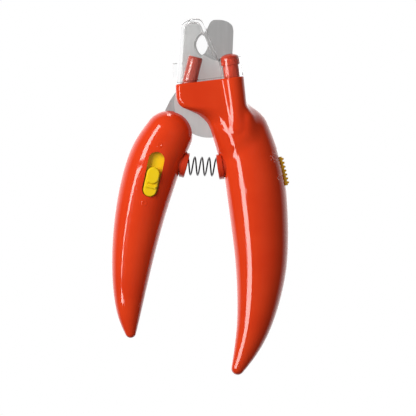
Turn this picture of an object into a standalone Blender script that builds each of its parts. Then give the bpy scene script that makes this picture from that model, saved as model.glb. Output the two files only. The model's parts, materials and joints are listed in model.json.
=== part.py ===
"""Pet nail trimmer: two pivoting handles with blades, return spring, slide lock, nail lamp and clear cover.

Frame: metres, +Z up along the trimmer, +X to the right, the front faces -Y. The origin is where the pivot
axis meets the flat back of the head. Lengths below are in millimetres and are scaled by MM, and they are
measured from the plane where the two blades meet: the root empty moves the whole trimmer to its frame.
"""

import math

import bmesh
import bpy
from mathutils import Matrix, Vector

MM = 0.001
GAP = 0.3
WALL = 1.9

# Blades lie in two planes either side of Y = 0.
BLADE_THICK = 1.7
BLADE_NEAR = 0.15
BLADE_FAR = BLADE_NEAR + BLADE_THICK
PIVOT_HOLE_R = 2.5
PIVOT_SHAFT_R = 2.42
DISC_R = 14.6
DISC_ROOM = 0.5
EYE_CENTRE = (-2.9, 24.4)
EYE_HALF = (2.45, 3.95)

# Handles: centre line (x, z) and half width of each horn.
LEFT_HORN = [(-17.0, -13.4, 10.2), (-21.5, -21.5, 11.2), (-24.9, -31.0, 11.35), (-28.5, -44.5, 10.6),
             (-31.4, -60.0, 9.3), (-33.2, -76.0, 7.3), (-33.6, -88.0, 5.0), (-32.9, -96.4, 2.3)]
RIGHT_HORN = [(14.5, -12.6, 10.9), (17.3, -22.7, 11.9), (20.0, -37.0, 12.65), (21.9, -60.0, 11.5),
              (21.6, -75.0, 10.0), (19.4, -91.0, 7.6), (15.9, -102.7, 5.2), (12.1, -111.5, 2.7)]
DEPTH_RATIO = 0.86
HORN_SIDES = 24
HORN_STEPS = 2
CAP_STEPS = 4
CAP_SHARE = 0.6
CAP_CLEAR = 0.2
THINNEST_RING = 0.35

# Head: a flat plate leaning with the cover post.
LEAN = math.radians(7.0)
HEAD_FRONT = -10.0
HEAD_BACK = 7.2
HEAD_NEAR = 2.2
CHEEK_INSET = 0.8
POST_FOOT = Vector((9.74, -7.1, 10.7))
POST_UP = Vector((-math.sin(LEAN), 0.0, math.cos(LEAN)))
HEAD_RIGHT = Vector((math.cos(LEAN), 0.0, math.sin(LEAN)))
KNUCKLE_R = 4.9
KNUCKLE_END_R = 4.1
KNUCKLE_LENGTH = 21.0
POST_NECK_R = 3.35
POST_COLLAR_R = 3.95
POST_COLLAR_Z = 5.3
POST_DOME_Z = 8.2
POST_SHANK_R = 2.4
POST_SHANK_LENGTH = 11.0

# Tangs: the part of each blade that sits inside its handle.
FRONT_TANG = [(16.5, -16.0), (21.5, -27.0), (22.6, -38.0), (16.5, -39.0), (13.6, -33.5), (11.2, -24.0),
              (7.4, -17.0)]
REAR_TANG = [(-12.2, -17.6), (-15.0, -21.8), (-15.9, -27.0), (-16.2, -32.4), (-22.0, -37.0), (-26.6, -44.5),
             (-28.0, -56.0), (-32.4, -55.5),
             (-32.9, -44.5), (-30.5, -32.0), (-26.6, -21.0), (-21.0, -8.5), (-16.4, 1.0), (-12.9, 6.2)]
FRONT_TANG_ROOM = FRONT_TANG + [(2.7, -14.6), (0.0, -10.0), (8.0, -4.0)]
REAR_TANG_ROOM = REAR_TANG + [(-4.0, 4.0), (-2.0, -10.0)]

# Clear cover.
COVER_WALL = 1.3
COVER_RIM = 1.6
COVER_BACK = -2.2
COVER_FOOT = 0.55
COVER_TOP = [(-11.9, 33.0), (-10.5, 34.2), (-8.9, 35.0), (-6.7, 35.5), (-4.7, 35.6), (-3.4, 35.1),
             (-2.6, 34.3), (-1.7, 32.8), (-1.1, 31.3)]

# Lamp barrel.
LAMP_FOOT = Vector((-8.0, -5.3, 9.45))
LAMP_TILT = math.radians(14.0)
LAMP_WAY = Vector((math.sin(LAMP_TILT), 0.0, math.cos(LAMP_TILT)))
LAMP_R = 3.05
LAMP_BORE_R = 2.6
LAMP_HEIGHT = 10.2
LAMP_SUNK = 3.0

# Lock slider on the left handle.
LOCK_TILT = math.radians(12.5)
LOCK_UP = Vector((math.sin(LOCK_TILT), 0.0, math.cos(LOCK_TILT)))
LOCK_SIDE = Vector((math.cos(LOCK_TILT), 0.0, -math.sin(LOCK_TILT)))
LOCK_TRAVEL = 6.3
LOCK_SLOT = Vector((-23.4, 0.0, -30.0))
LOCK_SLOT_LENGTH = 19.3
LOCK_SLOT_WIDTH = 6.7
LOCK_KNOB_LENGTH = 12.6
LOCK_KNOB_WIDTH = 5.6
LOCK_KNOB_TOP = -11.0
LOCK_PLATE_WIDTH = 7.4
LOCK_PLATE_LENGTH = 26.2
LOCK_PLATE_Y = -7.0
LOCK_PLATE_THICK = 1.0
LOCK_PEG = 2.4

# Light switch on the outer edge of the right handle.
SWITCH_TILT = math.atan2(6.5, 28.5)
SWITCH_UP = Vector((-math.sin(SWITCH_TILT), 0.0, math.cos(SWITCH_TILT)))
SWITCH_OUT = Vector((math.cos(SWITCH_TILT), 0.0, math.sin(SWITCH_TILT)))
SWITCH_POINT = Vector((30.95, 0.0, -27.1))
SWITCH_LENGTH = 12.4
SWITCH_WIDTH = 5.0
SWITCH_PROUD = 1.3
SWITCH_DEEP = 2.6
SWITCH_TRAVEL = 3.0
SWITCH_RIBS = 6

# Return spring and its cups.
SPRING_LEFT = Vector((-9.2, 0.0, -26.3))
SPRING_RIGHT = Vector((3.6, 0.0, -26.9))
SPRING_R = 3.8
SPRING_WIRE_R = 0.33
SPRING_TURNS = 4.2
CUP_R = 5.4
CUP_NECK_R = 4.7
CUP_FLANGE = 2.3
CUP_DEPTH = 4.7
CUP_SEAT = 1.5

# Button cells in the right handle.
CELL_R = 5.8
CELL_THICK = 5.2
CELL_COUNT = 3
DOOR_LENGTH = 24.0
DOOR_WIDTH = 14.6
CELLS_MIDDLE = Vector((21.4, 1.8, -51.5))

SCREW_SHAFT_R = 1.0
SCREW_HOLE_R = 1.3
SCREW_HEAD_R = 2.2
SCREW_BOSS_R = 2.7
SCREW_BACK_BOSS_R = 3.3
WELL_LENGTH = 16.0
SCREW_DEEP = 4.0
SCREW_SEAT = 2.9
SCREW_HEAD_THICK = 1.3
# Each screw: (x, z, how far its bosses reach from the split).
LEFT_SCREWS = [(-18.1, -30.5, 5.5), (-29.9, -52.0, 7.6), (-33.1, -79.0, 4.7)]
RIGHT_SCREWS = [(14.3, -28.2, 7.6), (21.7, -69.0, 7.6), (19.9, -88.0, 5.6)]


# ---------------------------------------------------------------- scene and objects

def clear_scene():
    for old in list(bpy.data.objects):
        bpy.data.objects.remove(old, do_unlink=True)


def make_collection(name):
    collection = bpy.data.collections.new(name)
    bpy.context.scene.collection.children.link(collection)
    return collection


def make_material(name, colour, roughness, metallic=0.0, transmission=0.0):
    material = bpy.data.materials.new(name)
    material.use_nodes = True
    shader = material.node_tree.nodes["Principled BSDF"]
    shader.inputs["Base Color"].default_value = (*colour, 1.0)
    shader.inputs["Roughness"].default_value = roughness
    shader.inputs["Metallic"].default_value = metallic
    shader.inputs["Transmission Weight"].default_value = transmission
    material.diffuse_color = (*colour, 1.0)
    return material


def make_empty(name, location, parent):
    empty = bpy.data.objects.new(name, None)
    empty.location = location * MM
    empty.empty_display_size = 5 * MM
    empty.parent = parent
    PARTS.objects.link(empty)
    return empty


def new_object(name, mesh):
    obj = bpy.data.objects.new(name, mesh)
    PARTS.objects.link(obj)
    return obj


def face_outwards(bm):
    bmesh.ops.recalc_face_normals(bm, faces=bm.faces)
    if bm.calc_volume(signed=True) < 0:
        bmesh.ops.reverse_faces(bm, faces=bm.faces)


def from_bmesh(name, bm):
    face_outwards(bm)
    mesh = bpy.data.meshes.new(name)
    bm.to_mesh(mesh)
    bm.free()
    return new_object(name, mesh)


def to_mesh_object(obj):
    """A curve or a modified object becomes a plain welded mesh object in the same place."""
    graph = bpy.context.evaluated_depsgraph_get()
    graph.update()
    mesh = bpy.data.meshes.new_from_object(obj.evaluated_get(graph))
    bm = bmesh.new()
    bm.from_mesh(mesh)
    bmesh.ops.remove_doubles(bm, verts=bm.verts, dist=0.000001)
    face_outwards(bm)
    bm.transform(obj.matrix_world)
    bm.to_mesh(mesh)
    bm.free()
    name = obj.name
    bpy.data.objects.remove(obj, do_unlink=True)
    return new_object(name, mesh)


def as_cutter(obj):
    if obj.name in PARTS.objects:
        PARTS.objects.unlink(obj)
        CUTTERS.objects.link(obj)
    obj.hide_render = True
    obj.display_type = "WIRE"
    return obj


def boolean(obj, other, operation="DIFFERENCE"):
    modifier = obj.modifiers.new(other.name, "BOOLEAN")
    modifier.operation = operation
    modifier.solver = "EXACT"
    modifier.object = as_cutter(other)


def finish(obj, material, parent=None, smooth=40.0):
    """Applies the joins and cuts, gives the piece its material and hangs it on its joint's empty."""
    obj = to_mesh_object(obj)
    obj.data.materials.clear()
    obj.data.materials.append(material)
    obj.data.shade_smooth()
    obj.data.set_sharp_from_angle(angle=math.radians(smooth))
    obj.parent = parent or ROOT
    obj.location = -parent.location if parent else (0, 0, 0)
    return obj


# ---------------------------------------------------------------- shapes, in millimetres

def flat_piece(name, outline, y_low, y_high, edge=0.0):
    """A plate with this (x, z) outline between two Y values, its edges rounded by edge."""
    curve = bpy.data.curves.new(name, "CURVE")
    curve.dimensions = "2D"
    curve.fill_mode = "BOTH"
    curve.extrude = ((y_high - y_low) / 2 - edge) * MM
    curve.bevel_depth = edge * MM
    curve.bevel_resolution = 1
    curve.offset = -edge * MM
    spline = curve.splines.new("POLY")
    spline.points.add(len(outline) - 1)
    for point, (x, z) in zip(spline.points, outline):
        point.co = (x * MM, z * MM, 0.0, 1.0)
    spline.use_cyclic_u = True
    obj = new_object(name, curve)
    obj.rotation_euler = (math.pi / 2, 0.0, 0.0)
    obj.location = (0.0, (y_low + y_high) / 2 * MM, 0.0)
    bpy.context.view_layer.update()
    return to_mesh_object(obj)


def cylinder(name, centre, direction, radius, length, end_radius=None, sides=24):
    """A cylinder or cone from its centre point; direction runs from radius to end_radius."""
    bm = bmesh.new()
    top = radius if end_radius is None else end_radius
    bmesh.ops.create_cone(bm, cap_ends=True, segments=sides, radius1=radius * MM, radius2=top * MM,
                          depth=length * MM)
    turn = Vector((0, 0, 1)).rotation_difference(Vector(direction)).to_matrix().to_4x4()
    bm.transform(Matrix.Translation(Vector(centre) * MM) @ turn)
    return from_bmesh(name, bm)


def block(name, centre, size, across=(1, 0, 0), up=(0, 0, 1)):
    """A box with its own X along across and its own Z along up."""
    bm = bmesh.new()
    bmesh.ops.create_cube(bm, size=MM)
    side, top = Vector(across).normalized(), Vector(up).normalized()
    depth = top.cross(side)
    turn = Matrix((side, depth, top)).transposed().to_4x4()
    bm.transform(Matrix.Translation(Vector(centre) * MM) @ turn @ Matrix.Diagonal((*size, 1.0)))
    return from_bmesh(name, bm)


def ball(name, centre, radius, squash=1.0, along=(0, 0, 1)):
    bm = bmesh.new()
    bmesh.ops.create_uvsphere(bm, u_segments=20, v_segments=8, radius=radius * MM)
    turn = Vector((0, 0, 1)).rotation_difference(Vector(along)).to_matrix().to_4x4()
    bm.transform(Matrix.Translation(Vector(centre) * MM) @ turn @ Matrix.Diagonal((1, 1, squash, 1)))
    return from_bmesh(name, bm)


def turned(name, profile, foot, direction, sides=24):
    """A turned piece: profile of (radius, height) from the top down its outer side, closed on the axis."""
    mesh = bpy.data.meshes.new(name)
    points = [(radius * MM, 0.0, height * MM) for radius, height in profile]
    mesh.from_pydata(points, [(i, i + 1) for i in range(len(points) - 1)], [])
    obj = new_object(name, mesh)
    screw = obj.modifiers.new("turn", "SCREW")
    screw.steps = sides
    screw.render_steps = sides
    screw.use_merge_vertices = True
    screw.merge_threshold = 0.000001
    turn = Vector((0, 0, 1)).rotation_difference(Vector(direction)).to_matrix().to_4x4()
    obj.matrix_world = Matrix.Translation(Vector(foot) * MM) @ turn
    bpy.context.view_layer.update()
    return to_mesh_object(obj)


def wire(name, points, radius):
    curve = bpy.data.curves.new(name, "CURVE")
    curve.dimensions = "3D"
    curve.bevel_depth = radius * MM
    curve.bevel_resolution = 2
    curve.use_fill_caps = True
    spline = curve.splines.new("POLY")
    spline.points.add(len(points) - 1)
    for point, place in zip(spline.points, points):
        point.co = (*(Vector(place) * MM), 1.0)
    return to_mesh_object(new_object(name, curve))


def arc(centre, radius, start, end, steps):
    """Points (x, z) on an arc, angles in degrees from +X towards +Z; radius may be a pair."""
    rx, rz = radius if isinstance(radius, tuple) else (radius, radius)
    out = []
    for i in range(steps + 1):
        angle = math.radians(start + (end - start) * i / steps)
        out.append((centre[0] + rx * math.cos(angle), centre[1] + rz * math.sin(angle)))
    return out


def oblong(centre, up, side, length, width, steps=8):
    """Outline of a slot with round ends, in the XZ plane."""
    radius = width / 2
    reach = length / 2 - radius
    out = []
    for end in (1, -1):
        for i in range(steps + 1):
            angle = math.pi * i / steps
            place = (Vector(centre) + up * (end * (reach + radius * math.sin(angle)))
                     + side * (end * radius * math.cos(angle)))
            out.append((place.x, place.z))
    return out


def smooth_line(points, steps):
    """Catmull-Rom through points of any length, steps per span."""
    out = []
    count = len(points)
    for i in range(count - 1):
        p0, p1, p2, p3 = (points[max(i - 1, 0)], points[i], points[i + 1], points[min(i + 2, count - 1)])
        for j in range(steps):
            t = j / steps
            point = []
            for a, b, c, d in zip(p0, p1, p2, p3):
                curved = (2 * a - 5 * b + 4 * c - d) * t ** 2 + (3 * b - a - 3 * c + d) * t ** 3
                point.append(0.5 * (2 * b + (c - a) * t + curved))
            out.append(tuple(point))
    out.append(tuple(points[-1]))
    return out


def horn_rows(stations):
    """Sections of a horn from its top cap to its tip: centre, heading along the centre line, half width."""
    line = smooth_line(stations, HORN_STEPS)
    places = [Vector((x, 0, z)) for x, z, _ in line]
    upward = (places[0] - places[1]).normalized()
    top_half = line[0][2]
    rows = []
    for i in range(1, CAP_STEPS + 1):
        angle = math.radians(90 * (1 - i / (CAP_STEPS + CAP_SHARE)))
        rows.append((places[0] + upward * top_half * math.sin(angle), -upward, top_half * math.cos(angle)))
    for i, place in enumerate(places):
        before = places[max(i - 1, 0)]
        after = places[min(i + 1, len(places) - 1)]
        rows.append((place, (after - before).normalized(), line[i][2]))
    heading = rows[-1][1]
    for i in range(1, CAP_STEPS):
        angle = math.radians(90 * i / CAP_STEPS)
        place = places[-1] + heading * line[-1][2] * math.sin(angle)
        rows.append((place, heading, line[-1][2] * math.cos(angle)))
    return rows, places[0], upward, top_half, places[-1] + heading * line[-1][2]


def horn(name, stations, inset=0.0):
    """A horn-shaped body: elliptical sections along a curved centre line, with a round cap at each end."""
    rows, top, upward, top_half, tip = horn_rows(stations)
    reach = top_half - inset
    bm = bmesh.new()
    rings = []
    for place, heading, half in rows:
        width = half - inset
        depth = half * DEPTH_RATIO - inset
        beyond_cap = (place - top).dot(upward) > reach - CAP_CLEAR
        if min(width, depth) < THINNEST_RING or beyond_cap:
            continue
        side = Vector((heading.z, 0, -heading.x))
        ring = []
        for k in range(HORN_SIDES):
            angle = 2 * math.pi * k / HORN_SIDES
            at = place + side * width * math.cos(angle) + Vector((0, depth * math.sin(angle), 0))
            ring.append(bm.verts.new(at * MM))
        rings.append(ring)
    for a, b in zip(rings[:-1], rings[1:]):
        for k in range(HORN_SIDES):
            bm.faces.new((a[k], a[(k + 1) % HORN_SIDES], b[(k + 1) % HORN_SIDES], b[k]))
    tip_heading = rows[-1][1]
    for ring, end in ((rings[0], top + upward * reach), (rings[-1], tip - tip_heading * inset)):
        point = bm.verts.new(end * MM)
        for k in range(HORN_SIDES):
            bm.faces.new((ring[k], ring[(k + 1) % HORN_SIDES], point))
    return from_bmesh(name, bm)


# ---------------------------------------------------------------- outlines shared by several pieces

def on_head(right, up):
    """(x, z) of a point in the head's leaning frame, measured from the post's foot."""
    place = POST_FOOT + HEAD_RIGHT * right + POST_UP * up
    return (place.x, place.z)


def turn_about_pivot(outline, degrees):
    angle = math.radians(degrees)
    return [(x * math.cos(angle) - z * math.sin(angle), x * math.sin(angle) + z * math.cos(angle))
            for x, z in outline]


def head_outline(inset=0.0):
    """The flat plate: leaning top edge, rounded lower left corner, then the S-curve down to the horn."""
    left = -13.9 + inset
    top_left = on_head(-23.6 + inset, -inset)
    corner = arc((left + 5.6 - inset, 3.4), (5.6 - inset, 6.1 - inset), 180, 243, 6)
    s_curve = [(-5.9, -4.2), (-3.6, -5.6), (-1.6, -7.4), (0.2, -9.9), (1.7, -13.0), (3.0, -16.6),
               (4.4, -20.4)]
    s_curve = [(x + 0.75 * inset, z + 0.65 * inset) for x, z in s_curve]
    inner = [(9.0, -21.0), (17.5, -14.0), (18.0, -5.5)]
    right = [on_head(4.4 - inset, -12.0), on_head(4.4 - inset, -inset)]
    return [top_left] + corner + s_curve + inner + right


def front_blade_outline():
    """Left blade: body in the cover, bite of the nail hole, disc round the pivot, tang in the right handle."""
    upper = [(-12.0, 8.5), (-11.2, 20.0), (-10.6, 31.4)]
    tip = arc((-6.6, 28.6), (4.0, 5.6), 130, 62, 5) + [(-3.3, 32.4), (-2.4, 29.3)]
    bite = arc(EYE_CENTRE, EYE_HALF, 72, 262, 10)
    lower = [(-2.0, 19.9), (2.1, 18.0), (6.5, 17.0), (10.5, 12.0)]
    disc_right = arc((0, 0), DISC_R, 38, -28, 8)
    disc_low = arc((0, 0), DISC_R, -78, -135, 7)
    tooth = turn_about_pivot([(-DISC_R, 0.75), (-17.3, 0.55), (-17.3, -0.55), (-DISC_R, -0.75)], 44.0)
    disc_left = arc((0, 0), DISC_R, -142, -192, 6)
    return upper + tip + bite + lower + disc_right + FRONT_TANG + disc_low + tooth + disc_left


def rear_blade_outline():
    """Right blade: rounded tip, bite of the nail hole, disc round the pivot, shank into the left handle."""
    bite = arc(EYE_CENTRE, EYE_HALF, -70, 78, 8)
    edge = [(-2.3, 29.0), (-0.6, 31.6), (0.9, 34.2)]
    tip = [(2.4, 34.9), (5.6, 34.8), (8.2, 33.9), (9.9, 32.2), (10.3, 29.6)]
    right = [(9.9, 20.6), (12.0, 12.0)]
    disc_right = arc((0, 0), 14.0, 30, -118, 14)
    inner = [(-9.0, 11.5), (-5.2, 19.0)]
    return bite + edge + tip + right + disc_right + REAR_TANG + inner


# ---------------------------------------------------------------- handle shells

def outer_front(name, inset=0.0):
    """Everything the right front shell's outside is made of: horn, plate and knuckle."""
    body = horn(name, RIGHT_HORN, inset)
    if inset:
        plate = flat_piece(name + "_plate", head_outline(inset), HEAD_FRONT + inset, 3.0)
    else:
        plate = flat_piece(name + "_plate", head_outline(), HEAD_FRONT, -HEAD_NEAR, 0.9)
    boolean(body, plate, "UNION")
    return to_mesh_object(body)


def knuckle(name):
    """Tapered round housing of the cover post, ending in a half ball."""
    end = POST_FOOT - POST_UP * KNUCKLE_LENGTH
    middle = POST_FOOT - POST_UP * (KNUCKLE_LENGTH / 2)
    body = cylinder(name, middle, POST_UP, KNUCKLE_END_R, KNUCKLE_LENGTH, KNUCKLE_R)
    boolean(body, ball(name + "_end", end, KNUCKLE_END_R, 1.0, POST_UP), "UNION")
    return to_mesh_object(body)


def half_space(name, keep_front):
    """A big block that removes the half on the other side of the split, leaving half the joint's gap."""
    offset = GAP / 2
    centre_y = 30 - offset if keep_front else -30 + offset
    return block(name, (0, centre_y, -40), (140, 60, 240))


def screw_features(shell, screws, is_front, tang_count, tang_side):
    """Bosses and holes for the shell screws. A boss stops short of the tang where one passes."""
    for i, (x, z, reach) in enumerate(screws):
        through_tang = i < tang_count
        tag = f"{shell.name}_boss_{i}"
        if is_front:
            end = -BLADE_FAR - GAP if through_tang and tang_side == "front" else -GAP / 2
            boss = cylinder(tag, (x, (end - reach) / 2, z), (0, 1, 0), SCREW_BOSS_R, end + reach, sides=14)
            boolean(shell, boss, "UNION")
            hole = cylinder(tag + "_hole", (x, 0, z), (0, 1, 0), SCREW_HOLE_R, 2 * SCREW_DEEP, sides=14)
            boolean(shell, hole)
        else:
            end = BLADE_FAR + GAP if through_tang and tang_side == "back" else GAP / 2
            boss = cylinder(tag, (x, (reach + end) / 2, z), (0, 1, 0), SCREW_BACK_BOSS_R, reach - end, sides=14)
            boolean(shell, boss, "UNION")
            boolean(shell, cylinder(tag + "_hole", (x, 0, z), (0, 1, 0), SCREW_HOLE_R, 40, sides=14))
            well_middle = (x, SCREW_SEAT + WELL_LENGTH / 2, z)
            well = cylinder(tag + "_well", well_middle, (0, 1, 0), SCREW_HEAD_R + GAP, WELL_LENGTH, sides=14)
            boolean(shell, well)


def add_screws(prefix, screws, parent):
    """Cross-slotted screws, their heads at the bottom of the back shell's wells."""
    head_y = SCREW_SEAT + GAP + SCREW_HEAD_THICK / 2
    top_y = head_y + SCREW_HEAD_THICK / 2
    shaft_length = head_y + SCREW_DEEP - GAP
    for i, (x, z, _) in enumerate(screws):
        name = f"{prefix}_screw_{i + 1}"
        screw = cylinder(name, (x, head_y, z), (0, 1, 0), SCREW_HEAD_R, SCREW_HEAD_THICK,
                         SCREW_HEAD_R * 0.9, sides=14)
        shaft = cylinder(name + "_shaft", (x, head_y - shaft_length / 2, z), (0, 1, 0), SCREW_SHAFT_R,
                         shaft_length, sides=14)
        boolean(screw, shaft, "UNION")
        boolean(screw, block(name + "_slot_a", (x, top_y, z), (2.8, 1.2, 0.7)))
        boolean(screw, block(name + "_slot_b", (x, top_y, z), (0.7, 1.2, 2.8)))
        finish(screw, STEEL, parent)


def grown(outline, by=GAP):
    """An outline pushed outwards, corner by corner, from a line that runs the right way round."""
    out = []
    count = len(outline)
    area = sum(outline[i][0] * outline[(i + 1) % count][1] - outline[(i + 1) % count][0] * outline[i][1]
               for i in range(count))
    sign = 1 if area > 0 else -1
    for i in range(count):
        before, here, after = (Vector(outline[(i + k) % count]) for k in (-1, 0, 1))
        first, second = (here - before).normalized(), (after - here).normalized()
        normal = Vector((first.y + second.y, -first.x - second.x))
        normal = normal.normalized() * sign
        spread = max(0.5, normal.dot(Vector((first.y, -first.x)) * sign))
        out.append(tuple(here + normal * (by / spread)))
    return out


def lock_outline(along, length, width):
    """Slot-shaped outline on the lock's line, centred this far up from the resting knob's centre."""
    return oblong(KNOB_REST + LOCK_UP * along, LOCK_UP, LOCK_SIDE, length, width)


def disc_room(name, spare=DISC_ROOM, thick=2 * (BLADE_FAR + GAP)):
    """Room for the blades' discs to turn inside a shell."""
    return cylinder(name, (0, 0, 0), (0, 1, 0), DISC_R + spare, thick, sides=40)


def make_left_handle(pivot):
    front = horn("left_front_shell", LEFT_HORN)
    boolean(front, horn("left_front_void", LEFT_HORN, WALL))
    boolean(front, half_space("left_front_half", True))
    screw_features(front, LEFT_SCREWS, True, 2, "back")
    boolean(front, disc_room("left_disc_slot"))
    slot = oblong(LOCK_SLOT, LOCK_UP, LOCK_SIDE, LOCK_SLOT_LENGTH, LOCK_SLOT_WIDTH)
    boolean(front, flat_piece("lock_slot", slot, -14, -5))
    plate_sweep = lock_outline(LOCK_TRAVEL / 2, LOCK_PLATE_LENGTH + LOCK_TRAVEL + 2 * GAP,
                               LOCK_PLATE_WIDTH + 2 * GAP)
    boolean(front, flat_piece("lock_pocket", plate_sweep, LOCK_PLATE_Y - GAP, LOCK_PLATE_Y + 2.2))
    cut_cup_room(front, "left_front", SPRING_LEFT, CUP_LEFT_WAY)
    finish(front, RED, pivot)

    back = horn("left_back_shell", LEFT_HORN)
    boolean(back, horn("left_back_void", LEFT_HORN, WALL))
    boolean(back, half_space("left_back_half", False))
    screw_features(back, LEFT_SCREWS, False, 2, "back")
    boolean(back, flat_piece("left_tang_slot", grown(REAR_TANG_ROOM), -1.0, BLADE_FAR + GAP))
    boolean(back, disc_room("left_disc_slot_b"))
    cut_cup_room(back, "left_back", SPRING_LEFT, CUP_LEFT_WAY)
    finish(back, RED, pivot)
    add_screws("left", LEFT_SCREWS, pivot)


def door_outline(inset):
    length, width = DOOR_LENGTH - 2 * inset, DOOR_WIDTH - 2 * inset
    return oblong(CELLS_MIDDLE, Vector((0, 0, 1)), Vector((1, 0, 0)), length, width, 10)


def cut_right_openings(shell, tag):
    """The switch's slot on the outer edge and the hole for the spring cup's stem on the inner edge."""
    slot_size = (14, SWITCH_WIDTH, SWITCH_LENGTH + SWITCH_TRAVEL + 2 * GAP)
    boolean(shell, block("switch_slot_" + tag, SWITCH_POINT, slot_size, SWITCH_OUT, SWITCH_UP))
    cut_cup_room(shell, "right_" + tag, SPRING_RIGHT, CUP_RIGHT_WAY)


def make_right_handle():
    front = outer_front("right_front_shell")
    boolean(front, knuckle("right_knuckle"), "UNION")
    boolean(front, outer_front("right_front_void", WALL))
    boolean(front, half_space("right_front_half", True))
    screw_features(front, RIGHT_SCREWS, True, 1, "front")
    boolean(front, flat_piece("right_tang_slot", grown(FRONT_TANG_ROOM), -BLADE_FAR - GAP, 1.0))
    boolean(front, disc_room("right_disc_slot_f"))
    boolean(front, cylinder("post_bore", POST_FOOT - POST_UP * 5, POST_UP, POST_SHANK_R + GAP, 14.6))
    boolean(front, cylinder("post_seat", POST_FOOT, POST_UP, POST_NECK_R + GAP, 2.4))
    boolean(front, cylinder("lamp_hole", LAMP_FOOT, LAMP_WAY, LAMP_R + GAP, 9))
    cut_right_openings(front, "front")
    finish(front, RED)

    back = horn("right_back_shell", RIGHT_HORN)
    cheek = flat_piece("right_back_plate", head_outline(CHEEK_INSET), HEAD_NEAR + 0.1, HEAD_BACK, 0.9)
    boolean(back, cheek, "UNION")
    back = to_mesh_object(back)
    boolean(back, horn("right_back_void", RIGHT_HORN, WALL))
    boolean(back, half_space("right_back_half", False))
    boolean(back, disc_room("right_disc_slot_b", DISC_ROOM + 0.05, 2 * BLADE_FAR + 0.5))
    screw_features(back, RIGHT_SCREWS, False, 1, "front")
    boolean(back, cylinder("nut_room", (0, 2.0, 0), (0, 1, 0), 5.2, 7.0))
    cut_right_openings(back, "back")
    door_cut = flat_piece("door_opening", door_outline(0.0), 3.0, 16.0)
    boolean(back, door_cut)
    finish(back, RED)

    door = horn("battery_door", RIGHT_HORN)
    boolean(door, flat_piece("door_panel", door_outline(GAP), 3.0, 16.0), "INTERSECT")
    boolean(door, horn("door_void", RIGHT_HORN, WALL))
    finish(door, RED)
    add_screws("right", RIGHT_SCREWS, None)


def make_blades(pivot):
    holes = [(0.0, 0.0, PIVOT_HOLE_R), (*RIGHT_SCREWS[0][:2], SCREW_HOLE_R + GAP)]
    front = flat_piece("front_blade", front_blade_outline(), -BLADE_FAR, -BLADE_NEAR)
    for i, (x, z, radius) in enumerate(holes):
        boolean(front, cylinder(f"front_blade_hole_{i}", (x, 0, z), (0, 1, 0), radius, 9))
    finish(front, BRIGHT_STEEL)
    rear = flat_piece("rear_blade", rear_blade_outline(), BLADE_NEAR, BLADE_FAR)
    holes = [(0.0, 0.0, PIVOT_HOLE_R)] + [(x, z, SCREW_HOLE_R + GAP) for x, z, _ in LEFT_SCREWS[:2]]
    for i, (x, z, radius) in enumerate(holes):
        boolean(rear, cylinder(f"rear_blade_hole_{i}", (x, 0, z), (0, 1, 0), radius, 9))
    finish(rear, STEEL, pivot)


def make_pivot():
    """Bolt through both blades, a washer under its head, a washer under the nut."""
    head = cylinder("pivot_bolt", (0, -4.2, 0), (0, 1, 0), 4.0, 2.0)
    boolean(head, cylinder("pivot_shaft", (0, 0.9, 0), (0, 1, 0), PIVOT_SHAFT_R, 8.6), "UNION")
    boolean(head, cylinder("pivot_socket", (0, -5.2, 0), (0, 1, 0), 1.6, 2.0, sides=6))
    finish(head, STEEL)
    for name, y in (("pivot_washer_front", -2.65), ("pivot_washer_rear", 2.5)):
        washer = cylinder(name, (0, y, 0), (0, 1, 0), 4.4, 0.6)
        boolean(washer, cylinder(name + "_hole", (0, y, 0), (0, 1, 0), PIVOT_HOLE_R, 4))
        finish(washer, STEEL)
    nut = cylinder("pivot_nut", (0, 4.1, 0), (0, 1, 0), 4.1, 2.0, sides=6)
    boolean(nut, cylinder("pivot_nut_hole", (0, 4.1, 0), (0, 1, 0), PIVOT_HOLE_R, 6))
    finish(nut, STEEL)


def make_spring_cup(name, seat, inward, parent):
    """Round cup: neck pressed into the shell's edge, flange, and a seat with a stub for the coil's end."""
    cup = cylinder(name, seat - inward * (CUP_FLANGE / 2), inward, CUP_R, CUP_FLANGE)
    neck_middle = seat - inward * ((CUP_FLANGE + CUP_DEPTH) / 2 - 0.1)
    neck_length = CUP_DEPTH - CUP_FLANGE + 0.2
    boolean(cup, cylinder(name + "_neck", neck_middle, inward, CUP_NECK_R, neck_length), "UNION")
    boolean(cup, cylinder(name + "_seat", seat, inward, SPRING_R + 0.8, 2 * CUP_SEAT))
    boolean(cup, cylinder(name + "_stub", seat - inward * 1.1, inward, 2.5, 2.4), "UNION")
    return finish(cup, RED, parent)


def cut_cup_room(shell, tag, seat, inward):
    """Hole in a shell's inner edge for a spring cup's neck, with room for its flange."""
    boolean(shell, cylinder("cup_neck_room_" + tag, seat - inward * 3.6, inward, CUP_NECK_R + GAP, 8.0))
    boolean(shell, cylinder("cup_flange_room_" + tag, seat + inward * (3.0 - CUP_FLANGE - GAP), inward,
                            CUP_R + GAP, 6.0))


def make_spring():
    """Open coil between the two seats."""
    start = SPRING_LEFT + CUP_LEFT_WAY * 0.1
    end = SPRING_RIGHT + CUP_RIGHT_WAY * 0.1
    along = (end - start).normalized()
    side = along.cross(Vector((0, 1, 0))).normalized()
    other = along.cross(side)
    per_turn = 12
    count = int(SPRING_TURNS * per_turn)
    points = []
    for i in range(count + 1):
        angle = 2 * math.pi * i / per_turn
        radial = side * math.cos(angle) + other * math.sin(angle)
        points.append(start + (end - start) * (i / count) + radial * SPRING_R)
    finish(wire("return_spring", points, SPRING_WIRE_R), DARK_STEEL)


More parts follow.
